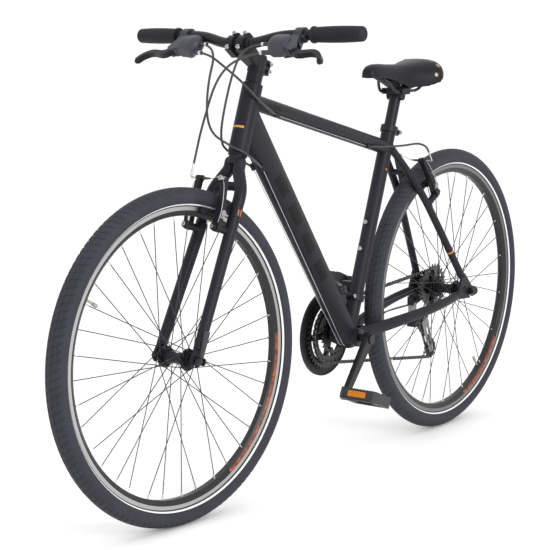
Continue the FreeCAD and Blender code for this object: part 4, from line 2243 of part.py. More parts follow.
def boss_bolts(place):
    """Bolts that keep the arms on the boss pins."""
    start = boss_length + boss_pin_length
    bolts = []
    for side in (1, -1):
        spot = V(start, side * boss_half_spacing, 0)
        bolts.append(placed(rod(spot, spot + V(stem_bolt_head_height, 0, 0), arm_base_radius - boss_pin_radius / 2),
                            place))
    return bolts


# Cables, stops and guides

def steered(point):
    return steer_place.multVec(V(*point))


def pod_spot(side, along, reach, across):
    spot = pod_place().multVec(V(along, reach, across))
    return steer_place.multVec(V(spot.x, spot.y * side, spot.z))


def brake_start(side):
    """Where a brake housing starts inside its barrel, and its first corner on the barrel's line."""
    return [pod_spot(side, pod_inner, barrel_reach, barrel_across),
            pod_spot(side, pod_inner - barrel_lead, barrel_reach, barrel_across)]


def shift_start(side):
    return [pod_spot(side, pod_inner, ferrule_reach, ferrule_across),
            pod_spot(side, pod_inner - ferrule_lead, ferrule_reach, ferrule_across)]


top_under = V(top_run.z, 0, -top_run.x)
if top_under.z > 0:
    top_under = top_under * -1


def top_spot(reach):
    """A place on the lower left flank of the top tube."""
    return top_front + top_run * reach + top_under * top_stop_offset + side_y * top_stop_offset


def down_spot(side):
    """A place on the underside of the down tube."""
    centre = bracket + down_run * down_stop_reach
    return centre - down_up * down_stop_offset + side_y * (side * down_stop_y)


def shoulder_spot(side):
    """Where a wire leaves the down tube's underside for the guide."""
    return bracket - down_up * wire_shoulder_drop + side_y * (side * wire_guide_y)


def guide_spot(side):
    return bracket + V(0, side * wire_guide_y, -bracket_shell_radius - wire_guide_drop)


def stay_spot():
    middle = chainstay_point(stay_stop_x, 0)
    share = (bracket.x - stay_stop_x) / (bracket.x - rear_axle.x - chainstay_end_ahead)
    across = chainstay_tyre_y + (chainstay_end_y - chainstay_tyre_y) * share
    return V(stay_stop_x, -across, middle.z - stay_stop_drop)


def make_steering_housings():
    """The three housings that cross from the turning bar to the frame."""
    rear_shift = shift_start(-1) + [steered(corner) for corner in rear_shift_corners] + [down_spot(1)]
    front_shift = shift_start(1) + [steered(corner) for corner in front_shift_corners] + [down_spot(-1)]
    rear_brake = brake_start(-1) + [steered(corner) for corner in rear_brake_corners]
    rear_brake.append(top_spot(top_front_stop_reach))
    return [cable("rear shift housing", rear_shift, housing_radius),
            cable("front shift housing", front_shift, housing_radius),
            cable("rear brake housing", rear_brake, housing_radius)]


def make_frame_cables():
    """Bare wires along the frame and the housing loop into the rear derailleur."""
    brake_wire = cable("top tube wire", [top_spot(top_front_stop_reach), top_spot(top_rear_stop_reach)], wire_radius)
    shift_wire = cable("rear shift wire", [down_spot(1), shoulder_spot(1), guide_spot(1), stay_spot()], wire_radius)
    other_wire = cable("front shift wire", [down_spot(-1), shoulder_spot(-1), guide_spot(-1)], wire_radius)
    loop_end = hanger_spot + V(-knuckle_radius, (link_inner_y + link_outer_y) / 2, 0)
    loop = [stay_spot()] + [V(*corner) for corner in stay_loop_corners] + [loop_end]
    return [brake_wire, shift_wire, other_wire, cable("rear shift loop", loop, housing_radius)]


def brake_cable_end(place):
    """The bent metal guide, its boot and the wire across to the anchor bolt, in a brake's frame."""
    middle = boss_length + moving_gap + arm_depth / 2
    anchor_x = boss_length + moving_gap + arm_depth + anchor_height / 2
    anchor_up = arm_top_up + anchor_radius / 2
    start = V(middle, -noodle_across, arm_top_up + noodle_rise)
    corner = V(middle, -noodle_across, arm_top_up)
    tip = V(middle, -noodle_inner, arm_top_up)
    noodle = cable("brake guide tube", [start, corner, tip], noodle_radius)
    boot_end = tip + side_y * boot_length
    wire = cable("brake wire", [tip, boot_end, V(anchor_x, arm_top_y - cradle_length, anchor_up),
                                V(anchor_x, arm_top_y + wire_tail, anchor_up)], wire_radius)
    boot = cone(tip, boot_end, boot_radius, wire_radius * 2).cut(wire)
    lead = start + V(0, 0, noodle_lead)
    return [placed(piece, place) for piece in (noodle, boot, wire)], place.multVec(start), place.multVec(lead)


def make_front_brake_cable():
    pieces, start, lead = brake_cable_end(steer_place.multiply(front_brake_place()))
    route = brake_start(1) + [steered(corner) for corner in front_brake_corners] + [lead, start]
    return pieces + [cable("front brake housing", route, housing_radius)]


def make_rear_brake_cable():
    pieces, start, lead = brake_cable_end(rear_brake_place())
    route = [top_spot(top_rear_stop_reach)] + [V(*corner) for corner in rear_loop_corners] + [lead, start]
    return pieces + [cable("rear brake loop", route, housing_radius)]


def make_front_shift_wire():
    wide = shifter_link_thickness / 2 + moving_gap + shifter_link_thickness
    end = V(shifter_x - wide - wire_radius * 2, shifter_y, shifter_low)
    corners = [V(*corner) for corner in shift_wire_corners]
    start = guide_spot(-1)
    route = [start + unit(corners[0] - start) * wire_radius] + corners + [end]
    return cable("front derailleur wire", route, wire_radius)


def make_frame_fittings(cables):
    """Cable stops on the tubes, the guide under the bottom bracket and the bottle bolts."""
    tubes = [top_outer, down_outer, chainstay_loft(0), mirrored(chainstay_loft(0)), bracket_outer, seat_outer]
    half = stop_length / 2
    stay_run = unit(chainstay_point(stay_stop_x, -chainstay_end_y) - chainstay_point(bracket.x, -chainstay_tyre_y))
    stops = []
    for spot, run in ((top_spot(top_front_stop_reach), top_run), (top_spot(top_rear_stop_reach), top_run),
                      (down_spot(1), down_run), (down_spot(-1), down_run), (stay_spot(), stay_run)):
        stops.append(rod(spot - run * half, spot + run * half, stop_radius))
    low = bracket - V(wire_guide_half_length, wire_guide_half_width, bracket_shell_radius + wire_guide_thickness)
    stops.append(block(low, bracket + V(wire_guide_half_length, wire_guide_half_width, -bracket_shell_radius / 2)))
    fittings = [largest(stop.cut(tubes + cables)) for stop in stops]
    for index in range(bottle_bolt_count):
        spot = bracket + seat_up * (bottle_first_reach + index * bottle_spacing) + seat_ahead * seat_tube_radius
        head = rod(spot, spot + seat_ahead * bottle_bolt_head_height, bottle_bolt_head_radius)
        fittings.append(head.cut(seat_outer))
    return fittings


# Files

os.makedirs("parts", exist_ok=True)

save("head_tube", [make_head_tube()])
save("top_tube", [make_top_tube()])
save("down_tube", [make_down_tube()])
save("seat_tube", [make_seat_tube()])
save("bottom_bracket_shell", [make_bracket_shell()])
save("chain_stays", make_chain_stays())
save("seat_stays", make_seat_stays() + boss_bolts(rear_brake_place()))
save("dropouts", [dropout_plate(1), dropout_plate(-1)])
save("frame_bearings", make_headset() + [make_bottom_bracket()])
save("rear_axle", make_rear_axle())
save("derailleur_mounts", make_derailleur_mounts())
save("chain", make_chain())

save("fork_steerer", [make_fork_steerer()])
front_brake_frame = steer_place.multiply(front_brake_place())
save("fork_legs", make_fork_legs() + boss_bolts(front_brake_frame))
save("stem", make_stem())
save("handlebar", [make_handlebar()])
save("grips", make_grips())
save("shifter_pods", make_pods())
left_lever, right_lever = make_brake_levers()
save("brake_lever_left", [left_lever])
save("brake_lever_right", [right_lever])
left_thumb, right_thumb = make_shift_levers()
save("shift_lever_left", [left_thumb])
save("shift_lever_right", [right_thumb])
save("front_axle", make_front_axle())
save("front_release_lever", [make_release_lever()])

wheels = (("front", front_wheel_place(), front_flange_y, -front_flange_y, front_hub_end_y, -front_hub_end_y,
           front_valve_angle),
          ("rear", rear_wheel_place(), rear_left_flange_y, rear_right_flange_y, rear_hub_left_y, rear_hub_right_y,
           rear_valve_angle))
for wheel_name, place, left_y, right_y, left_end, right_end, valve_angle in wheels:
    save(wheel_name + "_tyre", [placed(make_tyre(), place)])
    save(wheel_name + "_rim", [placed(piece, place) for piece in make_rim(left_y, right_y, valve_angle)])
    save(wheel_name + "_spokes", [placed(spoke, place) for spoke in make_spokes(left_y, right_y)])
    save(wheel_name + "_hub", [placed(hub_shell(left_y, right_y, left_end, right_end), place)])

save("cassette", [make_cassette()])
save("crank_arms", make_crank_arms())
save("crank_axles", make_crank_axles())
save("chainrings", make_chainrings())
save("chain_guard", [make_chain_guard()])
save("pedal_left", make_pedal(1))
save("pedal_right", make_pedal(-1))

front_ahead = fork_rake - leg_x(boss_radius)
save("front_brake_arm_right", make_brake_arm(front_brake_frame, front_ahead, True))
save("front_brake_arm_left", make_brake_arm(front_brake_frame, front_ahead, False))
save("rear_brake_arm_left", make_brake_arm(rear_brake_place(), 0, True))
save("rear_brake_arm_right", make_brake_arm(rear_brake_place(), 0, False))

save("rear_derailleur_inner_link", [derailleur_link(link_inner_y)])
save("rear_derailleur_outer_link", [derailleur_link(link_outer_y)])
save("rear_derailleur_body", [make_derailleur_body()])
save("rear_derailleur_cage", [make_derailleur_cage()])
save("guide_pulley", [make_pulley(guide_centre)])
save("tension_pulley", [make_pulley(tension_centre(cage_angle))])
save("front_derailleur_link", [make_shifter_link()])
save("front_derailleur_cage", [make_shifter_cage()])

save("seatpost", make_seatpost())
save("saddle", [make_saddle()])
save("saddle_rails", make_saddle_rails())

steering_housings = make_steering_housings()
frame_cables = make_frame_cables()
front_brake_cable = make_front_brake_cable()
rear_brake_cable = make_rear_brake_cable()
front_shift_wire = make_front_shift_wire()
save("steering_housings", steering_housings)
save("frame_cables", frame_cables)
save("front_brake_cable", front_brake_cable)
save("rear_brake_cable", rear_brake_cable)
save("front_shift_wire", [front_shift_wire])
held_cables = steering_housings + frame_cables + rear_brake_cable + [front_shift_wire]
save("frame_fittings", make_frame_fittings(held_cables) + make_seat_clamp())
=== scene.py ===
from math import copysign, cos, degrees, pi, radians, sin

import bmesh
import bpy
from mathutils import Matrix, Vector


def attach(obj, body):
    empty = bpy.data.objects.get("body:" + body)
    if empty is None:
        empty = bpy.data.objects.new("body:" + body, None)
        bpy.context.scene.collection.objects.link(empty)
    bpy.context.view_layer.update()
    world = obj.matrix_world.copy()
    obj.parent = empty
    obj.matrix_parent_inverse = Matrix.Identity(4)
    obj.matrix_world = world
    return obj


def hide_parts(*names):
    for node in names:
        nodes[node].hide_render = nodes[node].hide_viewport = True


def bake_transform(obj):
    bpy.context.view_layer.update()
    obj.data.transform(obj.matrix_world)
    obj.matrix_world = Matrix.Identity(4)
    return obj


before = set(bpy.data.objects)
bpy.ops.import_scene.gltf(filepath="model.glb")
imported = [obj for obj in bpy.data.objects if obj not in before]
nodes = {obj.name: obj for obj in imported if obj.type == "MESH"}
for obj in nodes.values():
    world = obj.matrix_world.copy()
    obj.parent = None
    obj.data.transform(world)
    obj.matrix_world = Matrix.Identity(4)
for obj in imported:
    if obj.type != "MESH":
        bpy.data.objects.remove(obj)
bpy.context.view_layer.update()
scene = bpy.context.scene

# Lengths are in metres and angles in degrees.
# X points forward, Y to the rider's left, Z up.

# Stance, pedals and the rear shift loop
rear_axle = Vector((-0.535, 0.0, 0.351))
bracket = Vector((-0.0952, 0.0, 0.298))
steer_foot = Vector((0.48802, 0.0, 0.3339))
head_lean = 20.0
rest_steer_angle = -5.76
fork_rake = 0.05
head_low = Vector((0.3338, 0.0, 0.7577))
head_high = Vector((0.2825, 0.0, 0.8987))
top_front = Vector((0.2944, 0.0, 0.8658))
top_rear = Vector((-0.2471, 0.0, 0.7269))
down_high = Vector((0.3071, 0.0, 0.831))
seat_top = Vector((-0.2638, 0.0, 0.774))
seat_ahead = Vector((0.9426, 0.0, 0.3338))
left_seatstay_bend = Vector((-0.357, 0.0325, 0.619))
left_seatstay_end = Vector((-0.508, 0.066, 0.391))
right_chainstay_front = Vector((-0.195, -0.036, 0.31))
right_chainstay_end = Vector((-0.489, -0.0655, 0.3455))
pedal_tilt = -22.0
crank_length = 0.17
crank_angle = -37.0
pedal_inner_y = 0.0922
pedal_width = 0.093
pedal_depth = 0.078
reflector_width = 0.046
reflector_height = 0.013
reflector_depth = 0.004
shift_loop_front_x = -0.33
shift_loop_rear_x = -1.0
shift_loop_top_z = 0.6

# Camera
camera_place = Vector((3.4062, 2.2936, 1.1351))
camera_target = Vector((0.197, 0.0, 0.48))
camera_roll = 0.4
camera_focal_pixels = 1828.9
picture_pixels = 550
sensor_width = 36.0

# Tyres
tyre_section_centre = 0.331
tyre_section_radius = 0.02
front_tyre_bulge = 1.18
rear_tyre_bulge = 1.06
tyre_lip_radius = 0.3132
tyre_lip_half_width = 0.0127
tyre_bead_radius = 0.3161
tyre_bead_half_width = 0.0094
tyre_inner_radius = 0.309
sipe_count = 132
sipe_depth = 0.0022
sipe_edge_share = 0.1
sipe_column_shares = (0.0, sipe_edge_share, 0.36, 0.64, 1.0 - sipe_edge_share, 1.0)
sipe_start_angle = 5.0
sipe_end_angle = 62.0
sipe_sweep_share = 0.55
sipe_sweep_power = 1.5
sipe_stagger_share = 0.25
groove_depth = 0.0008
groove_angles = (14.0, 38.0)
tread_angles = (
    0.0, 4.0, 8.0, 12.2, 14.0, 15.8, 22.0, 30.0, 36.2, 38.0, 39.8, 48.0, 56.0, 61.0, 64.0, 70.0,
    78.0, 86.0, 94.0, 102.0, 110.0, 118.0, 126.0, 132.0, 138.2)
stripe_inner_radius = 0.3146
stripe_outer_radius = 0.3176
seam_reach = 0.00002

# Rims
rim_track_inner_radius = 0.3042
rim_track_outer_radius = 0.3122
rim_track_half_width = 0.0105
rim_band_inner_radius = 0.2972
rim_band_outer_radius = 0.3046
rim_line_inner_radius = 0.2955
rim_line_outer_radius = 0.2963
front_band_turns = (158.0, 222.0)
rear_band_turns = (213.0, 252.0)
rim_bed_radius = 0.2925
nipple_inner_radius = 0.283
nipple_outer_radius = 1.0
track_ring_scale = 9000.0

# Brakes: a frame at each brake, X away from the bike, Z up the arms
front_brake_base = Vector((0.4111, -0.0019, 0.6007))
front_brake_ahead = Vector((0.9349, -0.1004, 0.3403))
front_brake_side = Vector((0.0943, 0.995, 0.0343))
rear_brake_base = Vector((-0.3817, 0.0, 0.5817))
rear_brake_ahead = Vector((-0.8329, 0.0, 0.5534))
rear_brake_side = Vector((0.0, -1.0, 0.0))
boss_half_spacing = 0.04
boss_face = 0.053
arm_top_y = 0.035
arm_top_up = 0.102
anchor_face = 0.0534
pad_nut_y = 0.0489
pad_nut_bottom, pad_nut_top = 0.02, 0.06
anchor_low, anchor_high = (0.0468, 0.02, 0.09), (0.1, 0.05, 0.115)
guide_tube_radius = 0.0023
guide_tube_route = (
    (0.0404, -0.062, 0.132), (0.0404, -0.062, 0.114), (0.0404, -0.062, 0.102),
    (0.0404, -0.048, 0.102), (0.0404, -0.027, 0.102))
brake_wire_radius = 0.0008
brake_wire_route = (
    (0.0404, -0.008, 0.102), (0.0404, 0.002, 0.102), (0.0499, 0.019, 0.1045),
    (0.0499, 0.045, 0.1045))
boot_start = Vector((0.0404, -0.027, 0.102))
boot_length = 0.022
boot_radius = 0.004
boot_end_radius = 0.0017
boot_rib_count = 6
boot_rib_depth = 0.0007
boot_sides = 20
front_brake_housing_route = (
    (0.3578, 0.091, 0.9711), (0.3567, 0.0561, 0.9697), (0.3994, -0.0003, 0.9359),
    (0.381, -0.0606, 0.81), (0.3876, -0.0677, 0.7645), (0.3979, -0.0677, 0.7363))
rear_brake_loop_route = (
    (-0.1495, 0.0145, 0.737), (-0.25, 0.0295, 0.729), (-0.3257, 0.062, 0.739),
    (-0.3423, 0.062, 0.714))

# Controls: a frame on the left pod, in the steering's frame
# X points outward, Y to the lever, Z down and back.
pod_base = Vector((0.058966, 0.159331, 0.689517))
pod_outward = Vector((-0.059, 0.9978, 0.0295))
pod_reach = Vector((0.5336, 0.0565, -0.8438))
barrel_low, barrel_high = (-0.08, 0.042, -0.01), (-0.073, 0.058, 0.02)
ferrule_low, ferrule_high = (-0.085, 0.023, -0.012), (-0.078, 0.037, 0.012)

# Saddle: stations from the nose to the back as (share of the length, value there)
saddle_nose_x = -0.159
saddle_rear_x = -0.413
saddle_edge = (
    (0.0, 0.892), (0.15, 0.891), (0.28, 0.886), (0.45, 0.873), (0.6, 0.864), (0.75, 0.866),
    (0.88, 0.879), (0.96, 0.894), (1.0, 0.906))
saddle_crown = (
    (0.0, 0.917), (0.05, 0.924), (0.15, 0.9262), (0.35, 0.9235), (0.55, 0.9225), (0.75, 0.9265),
    (0.88, 0.931), (0.96, 0.9305), (1.0, 0.924))
saddle_half_width = (
    (0.0, 0.0145), (0.04, 0.0195), (0.12, 0.022), (0.3, 0.024), (0.45, 0.0268), (0.6, 0.037),
    (0.72, 0.054), (0.82, 0.07), (0.89, 0.0745), (0.95, 0.066), (0.985, 0.05), (1.0, 0.034))
saddle_station_count = 48
saddle_arc_count = 28
saddle_squareness = 2.7
saddle_hollow = 0.007
saddle_hollow_share = 0.35
saddle_hollow_power = 4
saddle_solid_nose = 0.4
saddle_lip = 0.004
saddle_voxel = 0.004
saddle_pressure = 4.0
saddle_swell = 0.0025
saddle_shrink = 0.0012
saddle_frames = 20
saddle_held_slope = -0.2
saddle_smoothing = 0.5
saddle_early_smoothings = 6
saddle_late_smoothings = 5
rail_radius = 0.0035
rail_route = (
    (-0.213, 0.005, 0.9), (-0.224, 0.008, 0.891), (-0.243, 0.019, 0.87), (-0.256, 0.022, 0.8576),
    (-0.265, 0.022, 0.8576), (-0.328, 0.022, 0.8576), (-0.345, 0.022, 0.8576),
    (-0.362, 0.026, 0.866), (-0.38, 0.03, 0.886))
base_start_share = 0.16
base_end_share = 0.84
base_drop = 0.0095
base_rise = 0.006
base_half_width = 0.016
base_least_fullness = 0.02
base_fullness_power = 0.6
base_end_width_share = 0.35
base_sides = 24
base_station_count = 24
rivet_middle = Vector((-0.345, 0.0, 0.905))
rivet_bearings = (
    (72.0, -8.0), (57.0, 9.0), (40.0, 22.0), (-40.0, 22.0), (-57.0, 9.0), (-72.0, -8.0))
rivet_radius = 0.0054
rivet_flatness = 0.28
rivet_segments = 16
rivet_rings = 10

# Chain: bounds of its lower run and of its links round the pulleys
run_rear_x = -0.53
run_front_x = -0.0926
run_top_z = 0.2295
wrap_front_x = -0.493
wrap_top_z = 0.287
merge_reach = 0.000001
link_edge_angle = radians(30.0)

# Housings that cross the steering: control points of their smooth lines
housing_radius = 0.0025
line_order = 3
line_steps = 16
line_rounding = 4
rear_shift_route = (
    (0.3268, -0.1068, 0.9813), (0.3355, -0.054, 0.9825), (0.352, -0.069, 0.893),
    (0.3799, -0.0462, 0.8054), (0.3665, 0.0043, 0.7749), (0.3413, 0.0324, 0.7583),
    (0.2647, 0.013, 0.7217))
front_shift_route = (
    (0.3456, 0.0907, 0.9881), (0.3437, 0.0248, 0.9853), (0.3791, 0.0198, 0.9328),
    (0.3818, -0.0017, 0.8486), (0.3592, -0.0277, 0.7914), (0.334, -0.0342, 0.7588),
    (0.2647, -0.013, 0.7217))
rear_brake_route = (
    (0.3389, -0.1083, 0.9643), (0.3444, -0.0737, 0.9652), (0.328, -0.0357, 0.9333),
    (0.3239, 0.0121, 0.8999), (0.2997, 0.0338, 0.8613), (0.2157, 0.0145, 0.8306))

# Brake springs: a wire down the face of an arm, in a brake's frame, for the arm on its left
spring_radius = 0.0007
spring_route = (
    (0.0476, 0.0385, 0.098), (0.0478, 0.0445, 0.088), (0.0478, 0.05, 0.052),
    (0.0478, 0.0515, 0.03), (0.0478, 0.048, 0.01))

# Bolt heads as (centre of the outer face, axis, radius)
band_axis = Vector((0.7652, -0.0945, 0.6368))
pinch_axis = Vector((0.0943, 0.995, 0.0343))
left = Vector((0.0, 1.0, 0.0))
stem_bolts = (
    ((0.3445, 0.0064, 0.9806), band_axis, 0.0047), ((0.3216, 0.0076, 1.0083), band_axis, 0.0047),
    ((0.3417, -0.0235, 0.9795), band_axis, 0.0047), ((0.3187, -0.0223, 1.0073), band_axis, 0.0047),
    ((0.2469, 0.0176, 0.9245), pinch_axis, 0.0047), ((0.2415, 0.0176, 0.9395), pinch_axis, 0.0047))
frame_bolts = (
    ((-0.1446, 0.0, 0.498), seat_ahead, 0.0048), ((-0.1659, 0.0, 0.5583), seat_ahead, 0.0048),
    ((-0.1042, 0.012, 0.3924), left, 0.0045), ((-0.286, 0.016, 0.7603), left, 0.0053))
boss_bolt_radius = 0.0044
anchor_bolt_radius = 0.0053
head_height_share = 0.9
socket_share = 0.55
head_sides = 20
key_sides = 6

# Colours, linear
gloss_black = (0.0045, 0.0045, 0.0055)
accent_orange = (0.42, 0.13, 0.025)
accent_gold = (0.58, 0.3, 0.07)
band_orange = (0.36, 0.085, 0.026)
band_brown = (0.06, 0.022, 0.018)
stripe_white = (0.8, 0.8, 0.8)
front_track_grey = (0.42, 0.42, 0.42)
# The rear brake track is the same alloy as the front's, painted darker as shade
rear_track_painted_shade_grey = (0.2, 0.2, 0.205)
bright_steel = (0.62, 0.62, 0.62)
grey_steel = (0.34, 0.34, 0.34)
dark_steel = (0.075, 0.075, 0.078)
black_steel = (0.035, 0.035, 0.037)
amber = (0.66, 0.225, 0.018)
amber_deep = (0.48, 0.135, 0.01)
brass = (0.42, 0.36, 0.24)
brass_dull = (0.24, 0.2, 0.13)
sheath_black = (0.0105, 0.0105, 0.0115)
rim_bed_alloy = (0.45, 0.42, 0.36)

# Looks as (colour, second colour, scale of their drifts, least and most roughness, specular)
satin_black = ((0.0112, 0.011, 0.016), (0.016, 0.0158, 0.0215), 7.0, (0.38, 0.48), 0.17)
anodised_black = ((0.009, 0.0089, 0.0125), (0.014, 0.0139, 0.018), 9.0, (0.34, 0.46), 0.2)
dusty_rubber = ((0.024, 0.024, 0.033), (0.035, 0.035, 0.047), 25.0, (0.55, 0.72), 0.22)
moulded_charcoal = ((0.03, 0.032, 0.043), (0.04, 0.042, 0.054), 14.0, (0.33, 0.44), 0.3)
moulded_black = ((0.022, 0.022, 0.025), (0.034, 0.034, 0.038), 20.0, (0.42, 0.58), 0.35)
rim_black = ((0.0125, 0.0125, 0.014), (0.018, 0.018, 0.02), 30.0, (0.3, 0.42), 0.3)
stretch_cover = ((0.006, 0.0058, 0.009), (0.009, 0.0088, 0.0125), 16.0, (0.36, 0.46), 0.2)
white_paper = ((0.95, 0.95, 0.95), (0.96, 0.96, 0.96), 0.7, (0.85, 0.95), 0.2)
spoke_black = (black_steel, dark_steel, 600.0, (0.28, 0.42))
bare_wire = (grey_steel, bright_steel, 900.0, (0.25, 0.38))
metal_sheen_shares = (0.8, 1.25)
plastic_sheen_shares = (0.9, 1.1)
plastic_drift_scale = 12.0

# Metals as (name, colour, second colour, roughness, scale of the grain, nodes)
metals = (
    ("bright_steel", bright_steel, grey_steel, 0.3, 900.0, ("front_shift_wire",)),
    ("dark_plated_steel", dark_steel, black_steel, 0.38, 900.0,
     ("rear_axle", "front_axle", "crank_axles", "frame_bearings")),
    ("link_steel", (0.17, 0.17, 0.172), grey_steel, 0.34, 900.0,
     ("front_derailleur_link", "front_derailleur_cage", "rear_derailleur_inner_link",
      "rear_derailleur_outer_link", "rear_derailleur_cage")),
    ("chain_steel", (0.055, 0.053, 0.05), (0.15, 0.147, 0.142), 0.42, 300.0, ("chain",)),
    ("cog_steel", dark_steel, (0.16, 0.16, 0.16), 0.4, 300.0, ("cassette",)),
    ("ring_steel", black_steel, (0.1, 0.1, 0.1), 0.4, 300.0, ("chainrings",)),
    ("release_alloy", (0.05, 0.05, 0.053), (0.1, 0.1, 0.105), 0.35, 900.0,
     ("front_release_lever",)),
    ("rail_black", dark_steel, black_steel, 0.36, 900.0, ()),
    ("rivet_brass", brass, brass_dull, 0.4, 500.0, ()))

# Plastics as (name, colour, lighter colour, roughness, specular, scale of the grain, nodes)
plastics = (
    ("crank_black", (0.006, 0.0059, 0.0085), (0.0095, 0.0094, 0.0125), 0.36, 0.17, 1600.0,
     ("crank_arms",)),
    ("guard_plastic", (0.011, 0.011, 0.013), (0.017, 0.017, 0.02), 0.42, 0.22, 1600.0,
     ("chain_guard",)),
    ("grip_rubber", (0.0095, 0.0094, 0.013), (0.0165, 0.0163, 0.0215), 0.62, 0.2, 700.0,
     ("grips",)),
    ("pulley_plastic", (0.012, 0.012, 0.012), (0.02, 0.02, 0.02), 0.5, 0.3, 1600.0,
     ("guide_pulley", "tension_pulley")),
    ("cable_sheath", sheath_black, (0.017, 0.017, 0.018), 0.35, 0.4, 1600.0,
     ("steering_housings",)),
    ("trigger_plastic", (0.014, 0.014, 0.017), (0.022, 0.022, 0.026), 0.4, 0.35, 1600.0,
     ("shift_lever_left", "shift_lever_right")),
    ("base_plastic", (0.0075, 0.0074, 0.009), (0.012, 0.0118, 0.014), 0.45, 0.2, 1600.0, ()))

# Masks and textures
wide = 0.1
texture_low, texture_high = 0.3, 0.7
fine_detail = 2.0
lens_facet_scale = 420.0
band_wear_scale = 95.0
cover_cell_scale = 900.0
cover_noise_scale = 500.0
panel_start, panel_end = 0.2, 0.255
panel_pitch = 0.085
panel_count = 4

# Numbers of the mix node's sockets for A, B and the result
mix_sockets = {"FLOAT": (2, 3, 0), "RGBA": (6, 7, 2)}

# Studio: soft lights as (name, place, target, size, power)
lights = (("top_softbox", (0.3, 0.2, 4.0), (0.0, 0.0, 0.5), 4.0, 22.0),
          ("front_softbox", (1.2, 4.2, 2.2), (0.0, 0.0, 0.5), 2.0, 90.0))
floor_half_size = 40.0
studio_strength = 1.08


# Frames on the tubes, the turning front, the wheels, the brakes and the left pod

def frame_of(base, first, second):
    """A frame with X along the first direction and Y along the second."""
    x = first.normalized()
    z = x.cross(second).normalized()
    turn = Matrix((x, z.cross(x), z)).transposed()
    return Matrix.Translation(base) @ turn.to_4x4()


def run_matrix(start, end):
    """A frame on a tube: Z along its run, Y as near the rider's left as it can be."""
    along = (end - start).normalized()
    return frame_of(start, left.cross(along), along.cross(left.cross(along)))


steer_matrix = (Matrix.Translation(steer_foot)
                @ Matrix.Rotation(radians(-head_lean), 4, "Y")
                @ Matrix.Rotation(radians(rest_steer_angle), 4, "Z"))
front_wheel_matrix = steer_matrix @ Matrix.Translation((fork_rake, 0.0, 0.0))
rear_wheel_matrix = Matrix.Translation(rear_axle)
front_brake = frame_of(front_brake_base, front_brake_ahead, front_brake_side)
rear_brake = frame_of(rear_brake_base, rear_brake_ahead, rear_brake_side)
pod_matrix = frame_of(pod_base, pod_outward, pod_reach)

# Wheels as (end, frame, turns of the band, grey of the brake track with painted shade on the rear,
# bulge of the tyre)
wheels = (("front", front_wheel_matrix, front_band_turns, front_track_grey, front_tyre_bulge),
          ("rear", rear_wheel_matrix, rear_band_turns, rear_track_painted_shade_grey, rear_tyre_bulge))

# Brakes as (end, frame, carrier, arm with the anchor, arm with the tube, route of the housing)
brakes = (("front", front_brake, "steering", "front_brake_arm_left", "front_brake_arm_right",
           front_brake_housing_route),
          ("rear", rear_brake, "frame", "rear_brake_arm_right", "rear_brake_arm_left",
           rear_brake_loop_route))


# Finishes

class Nodes:
    """A tree of nodes being built."""

    def __init__(self, tree):
        self.tree = tree

    def feed(self, socket, value):
        if isinstance(value, bpy.types.NodeSocket):
            self.tree.links.new(value, socket)
        elif socket.type == "RGBA":
            socket.default_value = (*value, 1.0)
        else:
            socket.default_value = value

    def add(self, kind, inputs=(), **settings):
        """A new node with its settings, and its inputs joined to sockets or given values."""
        node = self.tree.nodes.new(kind)
        for key, value in settings.items():
            setattr(node, key, value)
        for key, value in dict(inputs).items():
            self.feed(node.inputs[key], value)
        return node

    def out(self, kind, inputs=(), output=0, **settings):
        """One output of a new node."""
        return self.add(kind, inputs, **settings).outputs[output]

    def maths(self, operation, *values):
        return self.out("ShaderNodeMath", enumerate(values), operation=operation)


